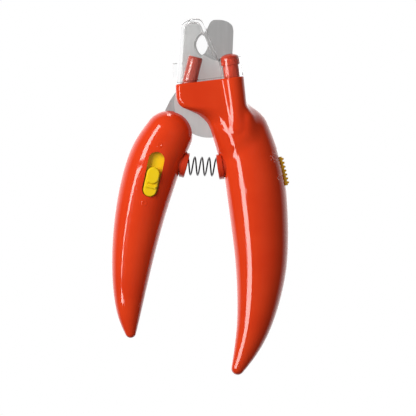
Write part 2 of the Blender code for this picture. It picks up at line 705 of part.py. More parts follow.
def make_lock(slide):
    """Yellow slider: knob with a raised ridge, sealing plate under the shell, and the bolt's peg."""
    knob = flat_piece("lock_slider", lock_outline(0, LOCK_KNOB_LENGTH, LOCK_KNOB_WIDTH), LOCK_KNOB_TOP + 0.9,
                      LOCK_PLATE_Y + 0.4, 0.35)
    ridge = flat_piece("lock_ridge", lock_outline(-0.6, 4.6, 4.5), LOCK_KNOB_TOP, LOCK_KNOB_TOP + 2.4, 0.3)
    boolean(knob, ridge, "UNION")
    plate = flat_piece("lock_plate", lock_outline(0, LOCK_PLATE_LENGTH, LOCK_PLATE_WIDTH), LOCK_PLATE_Y,
                       LOCK_PLATE_Y + LOCK_PLATE_THICK)
    boolean(knob, plate, "UNION")
    peg_y = (LOCK_PLATE_Y + LOCK_PLATE_THICK - BLADE_NEAR) / 2
    peg_length = LOCK_PLATE_THICK * 0.4 - (LOCK_PLATE_Y + LOCK_PLATE_THICK) - BLADE_NEAR
    peg_middle = KNOB_REST + Vector((0, peg_y - 0.2, 0))
    peg = block("lock_peg", peg_middle, (LOCK_PEG, peg_length, LOCK_PEG), LOCK_SIDE, LOCK_UP)
    boolean(knob, peg, "UNION")
    finish(knob, YELLOW, slide)

    def place(side, up):
        point = KNOB_REST + LOCK_SIDE * side + LOCK_UP * up
        return (point.x, point.z)

    bolt = flat_piece("lock_bolt", [place(-2.6, -3.6), place(-2.6, 14.4), place(4.6, 14.4), place(4.6, 18.6),
                                    place(5.9, 18.6), place(5.9, 11.6), place(2.2, 11.6), place(2.2, -3.6)],
                      -BLADE_FAR, -BLADE_NEAR)
    boolean(bolt, block("lock_bolt_hole", KNOB_REST, (3.0, 9, 3.0), LOCK_SIDE, LOCK_UP))
    finish(bolt, STEEL, slide)


def make_detent(pivot):
    """Bent leaf spring inside the left shell, pressing on the slider's plate from below."""
    middle = KNOB_REST + LOCK_UP * 1.0
    points = []
    for step in range(9):
        t = step / 8
        bow = math.sin(math.pi * t) * 0.9
        place = middle + LOCK_SIDE * (-3.2) + LOCK_UP * (-6 + 12 * t)
        points.append((place.x, LOCK_PLATE_Y + LOCK_PLATE_THICK + 1.6 - bow, place.z))
    finish(wire("lock_detent_spring", points, 0.3), DARK_STEEL, pivot)


def make_post():
    """Cover post: shank in the knuckle, neck, collar that keeps the sleeve on, domed top."""
    shank_top = -GAP - 0.6
    dome = [(POST_COLLAR_R * math.cos(math.radians(a)),
             POST_DOME_Z + 1.9 * math.sin(math.radians(a))) for a in (90, 72, 54, 36, 18, 0)]
    profile = dome + [(POST_COLLAR_R, POST_COLLAR_Z), (POST_NECK_R, POST_COLLAR_Z), (POST_NECK_R, 0.0),
                      (POST_SHANK_R, shank_top), (POST_SHANK_R, -POST_SHANK_LENGTH),
                      (0.0, -POST_SHANK_LENGTH)]
    profile[0] = (0.0, profile[0][1])
    post = turned("cover_post", profile, POST_FOOT, POST_UP)
    finish(post, RED)


def cover_outline():
    """Straight left side, arched top, slanting right side that runs down to the sleeve."""
    bottom_left = [on_head(-23.4, COVER_FOOT), (-12.95, 18.5)]
    slope = [(0.3, 27.6), (2.5, 21.8), (4.1, 17.6)]
    bottom_right = [on_head(-4.3, 4.6), on_head(-4.3, COVER_FOOT)]
    return bottom_left + COVER_TOP + slope + bottom_right


def make_cover(hinge):
    cover = flat_piece("nail_cover", cover_outline(), HEAD_FRONT, COVER_BACK)
    hollow = grown(cover_outline(), -COVER_RIM)
    hollow[0] = on_head(-23.4 + COVER_RIM, -2.0)
    hollow[-2] = on_head(0.0, 4.6)
    hollow[-1] = on_head(0.0, -2.0)
    hollow[-3] = on_head(-4.0, 5.8)
    boolean(cover, flat_piece("cover_hollow", hollow, HEAD_FRONT + COVER_WALL, 4))
    sleeve_mid = POST_FOOT + POST_UP * (GAP + 8.5) / 2
    boolean(cover, cylinder("cover_sleeve", sleeve_mid, POST_UP, KNUCKLE_R, 8.5 - GAP, sides=32), "UNION")
    tab = block("cover_tab", (-13.9, -6.0, 13.8), (2.4, 4.0, 6.0), (1, 0, 0.04), (-0.04, 0, 1))
    boolean(cover, tab, "UNION")
    boolean(cover, cylinder("sleeve_bore", POST_FOOT + POST_UP * 2, POST_UP, POST_NECK_R + 0.09, 10))
    boolean(cover, cylinder("sleeve_top", POST_FOOT + POST_UP * (POST_COLLAR_Z - GAP + 5), POST_UP,
                            POST_COLLAR_R + 0.09, 10))
    finish(cover, CLEAR, hinge)


def make_lamp():
    """Barrel on the head's top edge, the lamp in its mouth and the two leads below."""
    bore_foot = 1.0
    profile = [(LAMP_BORE_R, LAMP_HEIGHT - 0.4), (LAMP_R - 0.2, LAMP_HEIGHT), (LAMP_R, LAMP_HEIGHT - 0.4),
               (LAMP_R, -LAMP_SUNK), (1.3, -LAMP_SUNK), (1.3, bore_foot), (LAMP_BORE_R, bore_foot),
               (LAMP_BORE_R, LAMP_HEIGHT - 0.4)]
    finish(turned("lamp_barrel", profile, LAMP_FOOT, LAMP_WAY), RED)
    lamp = cylinder("lamp", LAMP_FOOT + LAMP_WAY * 4.6, LAMP_WAY, 2.45, 6.0)
    boolean(lamp, ball("lamp_dome", LAMP_FOOT + LAMP_WAY * 7.4, 2.4, 1.0, LAMP_WAY), "UNION")
    finish(lamp, CLEAR)
    side = Vector((LAMP_WAY.z, 0, -LAMP_WAY.x))
    for name, sign in (("lamp_lead_plus", 1), ("lamp_lead_minus", -1)):
        shift = side * (0.6 * sign)
        points = [LAMP_FOOT + LAMP_WAY * 1.2 + shift, LAMP_FOOT - LAMP_WAY * 5.5 + shift,
                  Vector((-6.0 + sign, -6.6, -0.5)), Vector((2.0 + sign, -6.9, -6.0)),
                  Vector((9.6 + sign, -6.4, -14.0)), Vector((19.6 + sign, -6.4, -22.0)),
                  Vector((20.6 + 1.5 * sign, -6.2, -38.0))]
        finish(wire(name, points, 0.35), RED if sign > 0 else DARK)


def make_switch(slide):
    """Ribbed knob through the handle's outer edge, and the small slide switch behind it."""
    depth = SWITCH_PROUD + SWITCH_DEEP
    middle = SWITCH_POINT + SWITCH_OUT * (SWITCH_PROUD - depth / 2) - SWITCH_UP * (SWITCH_TRAVEL / 2)
    size = (depth, SWITCH_WIDTH - 2 * GAP, SWITCH_LENGTH)
    knob = block("light_switch", middle, size, SWITCH_OUT, SWITCH_UP)
    pitch = SWITCH_LENGTH / SWITCH_RIBS
    for i in range(SWITCH_RIBS - 1):
        at = middle + SWITCH_OUT * (depth / 2) + SWITCH_UP * (pitch * (i + 1) - SWITCH_LENGTH / 2)
        boolean(knob, block(f"rib_gap_{i}", at, (1.1, 9, 0.8), SWITCH_OUT, SWITCH_UP))
    lever = middle - SWITCH_OUT * (depth / 2 + 0.6)
    boolean(knob, block("switch_lever", lever, (2.0, 1.6, 1.8), SWITCH_OUT, SWITCH_UP), "UNION")
    finish(knob, YELLOW, slide)
    behind = SWITCH_POINT - SWITCH_OUT * (SWITCH_DEEP + 2.7)
    body = block("switch_body", behind, (3.8, 4.4, 9.6), SWITCH_OUT, SWITCH_UP)
    boolean(body, block("switch_mouth", behind + SWITCH_OUT * 1.4, (2.4, 2.4, 6.4), SWITCH_OUT, SWITCH_UP))
    finish(body, DARK)


def make_power():
    """Three button cells in a tray, a contact plate at each end, and the door's panel in the back shell."""
    step = CELL_THICK + GAP
    for i in range(CELL_COUNT):
        at = CELLS_MIDDLE + Vector((0, 0, (1 - i) * step))
        cell = cylinder(f"button_cell_{i + 1}", at, (0, 0, 1), CELL_R, CELL_THICK, sides=28)
        finish(cell, BRIGHT_STEEL)
    stack = CELL_COUNT * step
    for name, sign in (("contact_plus", 1), ("contact_minus", -1)):
        at = CELLS_MIDDLE + Vector((0, 0, sign * (stack / 2 + 0.45)))
        finish(block(name, at, (8.0, 7.0, 0.4)), BRASS)
    tray = block("battery_tray", CELLS_MIDDLE + Vector((0, -3.3, 0)), (13.6, 6.8, stack + 4.2))
    boolean(tray, cylinder("tray_bore", CELLS_MIDDLE, (0, 0, 1), CELL_R + GAP, stack + 1.9, sides=28))
    mouth = (2 * CELL_R + 2 * GAP, 12, stack + 1.9)
    boolean(tray, block("tray_mouth", CELLS_MIDDLE + Vector((0, 6, 0)), mouth))
    finish(tray, DARK)


def build():
    pivot = make_empty("pivot_axis", Vector((0, 0, 0)), ROOT)
    lock_slide = make_empty("lock_slide", KNOB_REST, ROOT)
    cover_hinge = make_empty("cover_hinge", POST_FOOT, ROOT)
    switch_slide = make_empty("switch_slide", SWITCH_POINT, ROOT)
    make_left_handle(pivot)
    make_right_handle()
    make_blades(pivot)
    make_pivot()
    make_spring_cup("spring_cup_left", SPRING_LEFT, CUP_LEFT_WAY, pivot)
    make_spring_cup("spring_cup_right", SPRING_RIGHT, CUP_RIGHT_WAY, None)
    make_spring()
    make_lock(lock_slide)
    make_detent(pivot)
    make_post()
    make_cover(cover_hinge)
    make_lamp()
    make_switch(switch_slide)
    make_power()


clear_scene()
PARTS = make_collection("pet_nail_trimmer")
CUTTERS = make_collection("cutters")
RED = make_material("red_plastic", (0.62, 0.045, 0.012), 0.18)
YELLOW = make_material("yellow_plastic", (0.85, 0.55, 0.02), 0.3)
STEEL = make_material("steel", (0.55, 0.55, 0.54), 0.32, 1.0)
BRIGHT_STEEL = make_material("bright_steel", (0.7, 0.7, 0.69), 0.28, 1.0)
DARK_STEEL = make_material("spring_steel", (0.08, 0.08, 0.08), 0.35, 1.0)
BRASS = make_material("brass", (0.7, 0.5, 0.2), 0.35, 1.0)
DARK = make_material("dark_plastic", (0.03, 0.03, 0.03), 0.5)
CLEAR = make_material("clear_plastic", (0.95, 0.97, 0.97), 0.05, 0.0, 1.0)
ROOT = make_empty("trimmer", Vector((0, -HEAD_BACK, 0)), None)
KNOB_REST = LOCK_SLOT - LOCK_UP * (LOCK_TRAVEL / 2)
CUP_LEFT_WAY = Vector((0.968, 0.0, -0.252))
CUP_RIGHT_WAY = Vector((-0.991, 0.0, -0.133))
build()
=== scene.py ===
"""Looks of the pet nail trimmer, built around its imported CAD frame.

Lengths are in millimetres unless a comment says otherwise, measured from the plane where the blades meet,
with X to the right, Z up and the front at -Y. SHIFT moves them to the row frame, whose origin is on the flat
back of the head.
"""

import json
import math

import bmesh
import bpy
import numpy as np
from mathutils import Matrix, Vector


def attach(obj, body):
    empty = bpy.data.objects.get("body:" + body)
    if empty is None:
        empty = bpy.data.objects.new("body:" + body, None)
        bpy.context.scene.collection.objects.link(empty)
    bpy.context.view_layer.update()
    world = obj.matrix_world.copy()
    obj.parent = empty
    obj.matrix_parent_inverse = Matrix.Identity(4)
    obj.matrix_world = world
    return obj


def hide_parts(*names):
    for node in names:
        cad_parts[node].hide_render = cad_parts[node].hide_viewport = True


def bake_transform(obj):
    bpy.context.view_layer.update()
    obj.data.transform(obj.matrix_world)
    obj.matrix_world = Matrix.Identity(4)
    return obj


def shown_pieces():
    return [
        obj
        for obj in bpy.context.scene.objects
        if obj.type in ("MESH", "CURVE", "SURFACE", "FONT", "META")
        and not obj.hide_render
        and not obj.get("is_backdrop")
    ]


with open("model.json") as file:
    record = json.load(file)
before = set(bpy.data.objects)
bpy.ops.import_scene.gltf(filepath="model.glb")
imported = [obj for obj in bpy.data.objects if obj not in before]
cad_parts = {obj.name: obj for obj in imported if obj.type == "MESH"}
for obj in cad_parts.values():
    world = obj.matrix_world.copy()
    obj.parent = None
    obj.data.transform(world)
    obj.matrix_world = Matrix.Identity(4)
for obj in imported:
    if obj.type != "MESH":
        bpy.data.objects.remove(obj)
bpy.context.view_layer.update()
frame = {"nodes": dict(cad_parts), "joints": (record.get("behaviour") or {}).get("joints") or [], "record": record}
JOINTS = {joint["name"]: joint for joint in frame["joints"]}

MM = 0.001
SHIFT = Vector(JOINTS["handle_pivot"]["pos_m"])
GAP = 0.3
WALL = 1.9
WELD = 0.001

# Handles: centre line (x, z) and half width of each horn.
LEFT_HORN = [(-17.0, -13.4, 10.2), (-21.5, -21.5, 11.2), (-24.9, -31.0, 11.35), (-28.5, -44.5, 10.6),
             (-31.4, -60.0, 9.3), (-33.2, -76.0, 7.3), (-33.6, -88.0, 5.0), (-32.9, -96.4, 2.3)]
RIGHT_HORN = [(14.5, -12.6, 10.9), (17.3, -22.7, 11.9), (20.0, -37.0, 12.65), (21.9, -60.0, 11.5),
              (21.6, -75.0, 10.0), (19.4, -91.0, 7.6), (15.9, -102.7, 5.2), (12.1, -111.5, 2.7)]
DEPTH_RATIO = 0.86

# Fineness of the moulded surfaces: steps to the nearest ball, mesh step outside and inside, coarse grid and
# width of the band round the surface in which the field is worked out in full, in mesh steps.
HORN_STEPS = 12
FIELD_STEP = 0.42
VOID_STEP = 1.1
COARSE = 4
BAND = 14

# Blades.
BLADE_NEAR = 0.15
BLADE_FAR = 1.85
DISC_R = 14.6
EYE_CENTRE = (-2.9, 24.4)
EYE_HALF = (2.45, 3.95)
EYE_POINTED = 1.28
FRONT_TANG = [(16.5, -16.0), (21.5, -27.0), (22.6, -38.0), (16.5, -39.0), (13.6, -33.5), (11.2, -24.0),
              (7.4, -17.0)]
REAR_TANG = [(-12.2, -17.6), (-15.0, -21.8), (-15.9, -27.0), (-16.2, -32.4), (-22.0, -37.0), (-26.6, -44.5),
             (-28.0, -56.0), (-32.4, -55.5), (-32.9, -44.5), (-30.5, -32.0), (-26.6, -21.0), (-21.0, -8.5),
             (-16.4, 1.0), (-12.9, 6.2)]

# Head and cover post.
POST_UP = Vector(JOINTS["cover_hinge"]["axis"])
POST_FOOT = (Vector(JOINTS["cover_hinge"]["pos_m"]) - SHIFT) / MM
HEAD_RIGHT = Vector((POST_UP.z, 0.0, -POST_UP.x))
HEAD_FRONT = -10.0
HEAD_BACK = 7.2
HEAD_NEAR = 2.2
KNUCKLE_R = 4.9
KNUCKLE_END_R = 4.1
KNUCKLE_LENGTH = 21.0
POST_NECK_R = 3.35
POST_COLLAR_R = 3.95
POST_COLLAR_Z = 5.3
POST_DOME_Z = 8.2

# Below the head its front curves away to the left of a ridge through this point (x, z), which lies along the
# horn's: from RIDGE_NEAR before the ridge over RIDGE_WIDE, then straight on to RIDGE_END.
RIDGE = (5.0, -5.0)
RIDGE_LEFT = (-0.935, -0.354)
RIDGE_BEND = 0.13
RIDGE_NEAR = 3.0
RIDGE_WIDE = 6.5
RIDGE_END = 12.0

# Clear cover.
COVER_WALL = 1.3
COVER_RIM = 1.6
COVER_BACK = -2.2
COVER_FOOT = 0.55
# Walls of the cover that face partly along RIM_WAY get painted dark shade.
RIM_WAY = (0.35, 0.0, 0.94)
COVER_TOP = [(-11.9, 33.0), (-10.5, 34.2), (-8.9, 35.0), (-6.7, 35.5), (-4.7, 35.6), (-3.4, 35.1),
             (-2.6, 34.3), (-1.7, 32.8), (-1.1, 31.3)]

# Lamp barrel.
LAMP_FOOT = Vector((-8.0, -5.3, 9.45))
LAMP_TILT = math.radians(14.0)
LAMP_WAY = Vector((math.sin(LAMP_TILT), 0.0, math.cos(LAMP_TILT)))
LAMP_R = 3.05
LAMP_BORE_R = 2.6
LAMP_HEIGHT = 10.2
LAMP_SUNK = 3.0

# Lock slider.
LOCK_UP = Vector(JOINTS["lock_slide"]["axis"])
LOCK_SIDE = Vector((LOCK_UP.z, 0.0, -LOCK_UP.x))
LOCK_TRAVEL = JOINTS["lock_slide"]["range_m"][1] / MM
LOCK_SLOT = Vector((-23.4, 0.0, -30.0))
LOCK_REST = LOCK_SLOT - LOCK_UP * (LOCK_TRAVEL / 2)
LOCK_PLATE_Y = -7.0
LOCK_PLATE = (26.2, 7.4)

# Light switch.
SWITCH_UP = Vector(JOINTS["switch_slide"]["axis"])
SWITCH_OUT = Vector((SWITCH_UP.z, 0.0, -SWITCH_UP.x))
SWITCH_POINT = Vector((30.95, 0.0, -27.1))
SWITCH_LENGTH = 12.4
SWITCH_WIDTH = 5.0
SWITCH_PROUD = 1.3
SWITCH_DEEP = 2.6
SWITCH_TRAVEL = JOINTS["switch_slide"]["range_m"][1] / MM

# Return spring and its cups.
SPRING_LEFT = Vector((-9.2, 0.0, -26.3))
SPRING_RIGHT = Vector((3.6, 0.0, -26.9))
CUP_LEFT_WAY = Vector((0.968, 0.0, -0.252))
CUP_RIGHT_WAY = Vector((-0.991, 0.0, -0.133))
SPRING_R = 3.8
SPRING_WIRE_R = 0.33
SPRING_TURNS = 4.2
CUP_R = 5.4
CUP_NECK_R = 4.7
CUP_FLANGE = 2.3
CUP_DEPTH = 4.7

# Small raised marks: rings (x, z, radius, number of rays), in metres in the row frame.
LEFT_MARKS = [(-0.0206, -0.0176, 0.0009, 0), (-0.0271, -0.0420, 0.0009, 0)]
RIGHT_MARKS = [(0.0277, -0.0227, 0.0012, 8), (0.0297, -0.0315, 0.0011, 0)]
MARK_RAISED = 0.00009

# Studio. How far off the light ribbons are, in metres. Their highlights run beside the middle of the shapes
# they lie on: how far off it, as shares of the half width, and how wide, at the start, middle and end.
RIBBON_FAR = 0.5
STREAK_LEFT = ((-0.53, -0.42, -0.41), (1.3, 1.95, 1.25))
STREAK_RIGHT = ((-0.445, -0.45, -0.36), (1.6, 1.6, 1.05))
STREAK_KNUCKLE = ((-0.4, -0.395, -0.35), (0.7, 0.7, 0.7))
STREAK_POST = ((0.5, 0.42, 0.335), (0.8, 0.8, 0.8))
STREAK_LAMP = ((0.44, 0.385, 0.33), (0.8, 0.8, 0.8))
STREAK_DOME = [(-16.8, -4.5 - 0.1 * i, 1.5) for i in range(11)]
# World light: on diffuse colour, and as seen in gloss in front of and behind the trimmer.
AMBIENT = 0.14
GLOSS_FRONT = 0.04
GLOSS_BEHIND = 1.8

# Screws: (x, z, how far the boss reaches from the split).
SCREW_HOLE_R = 1.3
SCREW_HEAD_R = 2.2
SCREW_BOSS_R = 2.7
SCREW_SEAT = 2.9
LEFT_SCREWS = [(-18.1, -30.5, 5.5), (-29.9, -52.0, 7.6), (-33.1, -79.0, 4.7)]
RIGHT_SCREWS = [(14.3, -28.2, 7.6), (21.7, -69.0, 7.6), (19.9, -88.0, 5.6)]
CELLS_MIDDLE = Vector((21.4, 1.8, -51.5))


# ---------------------------------------------------------------- objects

def new_object(name, mesh):
    obj = bpy.data.objects.new(name, mesh)
    bpy.context.scene.collection.objects.link(obj)
    return obj


def face_outwards(bm):
    bmesh.ops.recalc_face_normals(bm, faces=bm.faces)
    if bm.calc_volume(signed=True) < 0:
        bmesh.ops.reverse_faces(bm, faces=bm.faces)


def welded(obj):
    bm = bmesh.new()
    bm.from_mesh(obj.data)
    bmesh.ops.remove_doubles(bm, verts=bm.verts, dist=WELD)
    face_outwards(bm)
    bm.to_mesh(obj.data)
    bm.free()
    return obj


def from_bmesh(name, bm):
    face_outwards(bm)
    mesh = bpy.data.meshes.new(name)
    bm.to_mesh(mesh)
    bm.free()
    return new_object(name, mesh)


def flatten(obj):
    """Applies modifiers or turns a curve into a mesh, in the same place."""
    graph = bpy.context.evaluated_depsgraph_get()
    graph.update()
    mesh = bpy.data.meshes.new_from_object(obj.evaluated_get(graph))
    mesh.transform(obj.matrix_world)
    name = obj.name
    old = obj.data
    bpy.data.objects.remove(obj, do_unlink=True)
    if isinstance(old, bpy.types.Mesh):
        bpy.data.meshes.remove(old)
    mesh.name = name
    return new_object(name, mesh)


def boolean(obj, other, operation="DIFFERENCE"):
    """Joins or cuts at once and removes the other object."""
    modifier = obj.modifiers.new("join", "BOOLEAN")
    modifier.operation = operation
    modifier.solver = "MANIFOLD"
    modifier.object = other
    result = flatten(obj)
    bpy.data.objects.remove(other, do_unlink=True)
    return result


def finish(obj, material, body, stands_for, smooth=35.0, weighted=True):
    """Scales a piece to the row frame, gives it a material and a body, and puts it in a CAD node's place."""
    obj.data.transform(Matrix.Translation(SHIFT) @ Matrix.Diagonal((MM, MM, MM, 1.0)))
    obj.data.materials.clear()
    obj.data.materials.append(material)
    obj.data.shade_smooth()
    obj.data.set_sharp_from_angle(angle=math.radians(smooth))
    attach(obj, body)
    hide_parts(stands_for)
    if weighted:
        flats = obj.modifiers.new("flat_faces", "WEIGHTED_NORMAL")
        flats.keep_sharp = True
    return obj


# ---------------------------------------------------------------- shapes

def flat_piece(name, outline, y_low, y_high, edge=0.0, rounds=3):
    """A plate with this (x, z) outline between two Y values, its edges rounded by edge."""
    curve = bpy.data.curves.new(name, "CURVE")
    curve.dimensions = "2D"
    curve.fill_mode = "BOTH"
    curve.extrude = (y_high - y_low) / 2 - edge
    curve.bevel_depth = edge
    curve.bevel_resolution = rounds
    curve.offset = -edge
    spline = curve.splines.new("POLY")
    spline.points.add(len(outline) - 1)
    for point, (x, z) in zip(spline.points, outline):
        point.co = (x, z, 0.0, 1.0)
    spline.use_cyclic_u = True
    obj = new_object(name, curve)
    obj.rotation_euler = (math.pi / 2, 0.0, 0.0)
    obj.location = (0.0, (y_low + y_high) / 2, 0.0)
    bpy.context.view_layer.update()
    return welded(flatten(obj))


def turn_to(direction):
    return Vector((0, 0, 1)).rotation_difference(Vector(direction)).to_matrix().to_4x4()


def cylinder(name, centre, direction, radius, length, sides=48):
    bm = bmesh.new()
    bmesh.ops.create_cone(bm, cap_ends=True, segments=sides, radius1=radius, radius2=radius, depth=length)
    bm.transform(Matrix.Translation(Vector(centre)) @ turn_to(direction))
    return from_bmesh(name, bm)


def block(name, centre, size, across=(1, 0, 0), up=(0, 0, 1), edge=0.0, rounds=3):
    """A box with its own X along across and its own Z along up, edges rounded by edge."""
    bm = bmesh.new()
    bmesh.ops.create_cube(bm, size=1.0)
    bmesh.ops.scale(bm, vec=size, verts=bm.verts)
    if edge:
        bmesh.ops.bevel(bm, geom=bm.edges[:], offset=edge, segments=rounds, affect="EDGES", profile=0.5)
    side, top = Vector(across).normalized(), Vector(up).normalized()
    turn = Matrix((side, top.cross(side), top)).transposed().to_4x4()
    bm.transform(Matrix.Translation(Vector(centre)) @ turn)
    return from_bmesh(name, bm)


def turned(name, profile, foot, direction, sides=64):
    """A turned piece from a closed or axis-to-axis profile of (radius, height)."""
    mesh = bpy.data.meshes.new(name)
    points = [(radius, 0.0, height) for radius, height in profile]
    mesh.from_pydata(points, [(i, i + 1) for i in range(len(points) - 1)], [])
    obj = new_object(name, mesh)
    screw = obj.modifiers.new("turn", "SCREW")
    screw.steps = sides
    screw.render_steps = sides
    screw.use_merge_vertices = True
    screw.merge_threshold = WELD
    obj.matrix_world = Matrix.Translation(Vector(foot)) @ turn_to(direction)
    bpy.context.view_layer.update()
    return welded(flatten(obj))


def wire(name, points, radius, rounds=4):
    curve = bpy.data.curves.new(name, "CURVE")
    curve.dimensions = "3D"
    curve.bevel_depth = radius
    curve.bevel_resolution = rounds
    curve.use_fill_caps = True
    spline = curve.splines.new("POLY")
    spline.points.add(len(points) - 1)
    for point, place in zip(spline.points, points):
        point.co = (*Vector(place), 1.0)
    return flatten(new_object(name, curve))


def arc(centre, radius, start, end, steps):
    rx, rz = radius if isinstance(radius, tuple) else (radius, radius)
    angles = [math.radians(start + (end - start) * i / steps) for i in range(steps + 1)]
    return [(centre[0] + rx * math.cos(a), centre[1] + rz * math.sin(a)) for a in angles]


def oblong(centre, up, side, length, width, steps=14):
    """Outline of a slot with round ends, in the XZ plane."""
    radius = width / 2
    reach = length / 2 - radius
    out = []
    for end in (1, -1):
        for i in range(steps + 1):
            angle = math.pi * i / steps
            place = (Vector(centre) + up * (end * (reach + radius * math.sin(angle)))
                     + side * (end * radius * math.cos(angle)))
            out.append((place.x, place.z))
    return out


def smooth_line(points, steps):
    """Catmull-Rom through points of any length, steps per span."""
    out = []
    count = len(points)
    for i in range(count - 1):
        p0, p1, p2, p3 = (points[max(i - 1, 0)], points[i], points[i + 1], points[min(i + 2, count - 1)])
        for j in range(steps):
            t = j / steps
            out.append(tuple(0.5 * (2 * b + (c - a) * t + (2 * a - 5 * b + 4 * c - d) * t ** 2
                                    + (3 * b - a - 3 * c + d) * t ** 3)
                             for a, b, c, d in zip(p0, p1, p2, p3)))
    out.append(tuple(points[-1]))
    return out


def on_head(right, up):
    """(x, z) of a point in the head's leaning frame, measured from the post's foot."""
    place = POST_FOOT + HEAD_RIGHT * right + POST_UP * up
    return (place.x, place.z)


# ---------------------------------------------------------------- moulded shapes from distance fields

def soft_min(a, b, width):
    reach = np.maximum(width - np.abs(a - b), 0.0) / width
    return np.minimum(a, b) - reach * reach * width / 4


def ease(value):
    value = np.clip(value, 0.0, 1.0)
    return value * value * (3.0 - 2.0 * value)


def soft_max(a, b, width):
    return -soft_min(-a, -b, width)


def horn_table(stations):
    """Dense centre line of a horn with its heading, half width and taper, by length along it."""
    line = np.array(smooth_line(stations, 40))
    for _ in range(200):
        line[1:-1] = (line[:-2] + line[1:-1] * 2 + line[2:]) / 4
    step = np.linalg.norm(np.diff(line[:, :2], axis=0), axis=1)
    length = np.concatenate([[0.0], np.cumsum(step)])
    heading = np.gradient(line[:, :2], length, axis=0)
    heading /= np.linalg.norm(heading, axis=1)[:, None]
    taper = np.gradient(line[:, 2], length)
    return length, line[:, 0], line[:, 1], line[:, 2], heading[:, 0], heading[:, 1], taper


def horn_field(p, stations):
    """Distance to a horn: the envelope of balls along its centre line, squeezed front to back."""
    x, y, z = p[..., 0].ravel(), p[..., 1].ravel() / DEPTH_RATIO, p[..., 2].ravel()
    length, cx, cz, half, hx, hz, taper = horn_table(stations)
    best = np.full(x.shape, 1e9)
    at = np.zeros(x.shape)
    for i in range(0, len(length), 10):
        gap = (x - cx[i]) ** 2 + (z - cz[i]) ** 2
        nearer = gap < best
        best[nearer] = gap[nearer]
        at[nearer] = length[i]
    for _ in range(HORN_STEPS):
        dx, dz = x - np.interp(at, length, cx), z - np.interp(at, length, cz)
        away = np.sqrt(dx * dx + dz * dz + y * y)
        along = dx * np.interp(at, length, hx) + dz * np.interp(at, length, hz)
        at = np.clip(at + 0.85 * (along + np.interp(at, length, taper) * away), 0.0, length[-1])
    dx, dz = x - np.interp(at, length, cx), z - np.interp(at, length, cz)
    away = np.sqrt(dx * dx + dz * dz + y * y) - np.interp(at, length, half)
    return (away * (0.5 + 0.5 * DEPTH_RATIO)).reshape(p.shape[:-1])


def outline_field(x, z, outline):
    """Signed distance in the XZ plane to a closed outline."""
    best = np.full(x.shape, 1e9)
    inside = np.zeros(x.shape, bool)
    for (ax, az), (bx, bz) in zip(outline, outline[1:] + outline[:1]):
        ex, ez = bx - ax, bz - az
        t = np.clip(((x - ax) * ex + (z - az) * ez) / (ex * ex + ez * ez), 0.0, 1.0)
        best = np.minimum(best, (x - ax - ex * t) ** 2 + (z - az - ez * t) ** 2)
        if abs(ez) > 1e-9:
            crosses = ((az > z) != (bz > z)) & (x < ex * (z - az) / ez + ax)
            inside ^= crosses
    return np.where(inside, -1.0, 1.0) * np.sqrt(best)


def plate_field(p, outline, y_low, y_high, edge):
    flat = outline_field(p[..., 0], p[..., 2], outline) + edge
    deep = np.abs(p[..., 1] - (y_low + y_high) / 2) - ((y_high - y_low) / 2 - edge)
    corner = np.sqrt(np.maximum(flat, 0) ** 2 + np.maximum(deep, 0) ** 2)
    return np.minimum(np.maximum(flat, deep), 0) + corner - edge


def cone_field(p, start, end, r_start, r_end):
    a, e = np.array(start), np.array(end) - np.array(start)
    t = np.clip(((p - a) @ e) / (e @ e), 0.0, 1.0)
    return np.linalg.norm(p - a - t[..., None] * e, axis=-1) - (r_start + (r_end - r_start) * t)


def surface_net(name, field, low, high, step, settle=4):
    """A closed mesh on the zero level of a field, its points settled onto that level."""
    axes = [np.arange(a, b + step, step) for a, b in zip(low, high)]
    grid = np.stack(np.meshgrid(*axes, indexing="ij"), axis=-1)
    value = field(grid[::COARSE, ::COARSE, ::COARSE])
    for axis in range(3):
        value = value.repeat(COARSE, axis)
    value = value[:grid.shape[0], :grid.shape[1], :grid.shape[2]]
    near = np.abs(value) < BAND * step
    value[near] = field(grid[near])
    for axis in range(3):
        ends = value.swapaxes(0, axis)
        ends[0] = np.maximum(ends[0], step)
        ends[-1] = np.maximum(ends[-1], step)
    shape = np.array(value.shape)
    cells = tuple(shape - 1)
    total = np.zeros((int(np.prod(cells)), 3))
    count = np.zeros(int(np.prod(cells)))
    quads = []
    for axis in range(3):
        a = value.take(range(0, shape[axis] - 1), axis)
        b = value.take(range(1, shape[axis]), axis)
        at = np.argwhere((a < 0) != (b < 0))
        u, v = (axis + 1) % 3, (axis + 2) % 3
        at = at[(at[:, u] > 0) & (at[:, v] > 0) & (at[:, u] < shape[u] - 1) & (at[:, v] < shape[v] - 1)]
        fa, fb = a[tuple(at.T)], b[tuple(at.T)]
        point = at.astype(float)
        point[:, axis] += fa / (fa - fb)
        corners = []
        for du, dv in ((0, 0), (-1, 0), (-1, -1), (0, -1)):
            cell = at.copy()
            cell[:, u] += du
            cell[:, v] += dv
            flat = np.ravel_multi_index(cell.T, cells)
            corners.append(flat)
            np.add.at(total, flat, point)
            np.add.at(count, flat, 1)
        quad = np.stack(corners, axis=1)
        quad[fa > 0] = quad[fa > 0][:, ::-1]
        quads.append(quad)
    quads = np.concatenate(quads)
    used, faces = np.unique(quads, return_inverse=True)
    faces = faces.reshape(-1, 4)
    points = total[used] / count[used][:, None] * step + np.array(low)
    reach = 0.05
    for _ in range(settle):
        slope = np.stack([(field(points + reach * e) - field(points - reach * e)) / (2 * reach)
                          for e in np.eye(3)], axis=-1)
        move = -field(points)[:, None] * slope / np.maximum((slope ** 2).sum(-1), 0.05)[:, None]
        points = points + np.clip(move, -0.4 * step, 0.4 * step)
    mesh = bpy.data.meshes.new(name)
    mesh.from_pydata(points.tolist(), [], faces.tolist())
    mesh.update()
    return new_object(name, mesh)


# ---------------------------------------------------------------- outlines

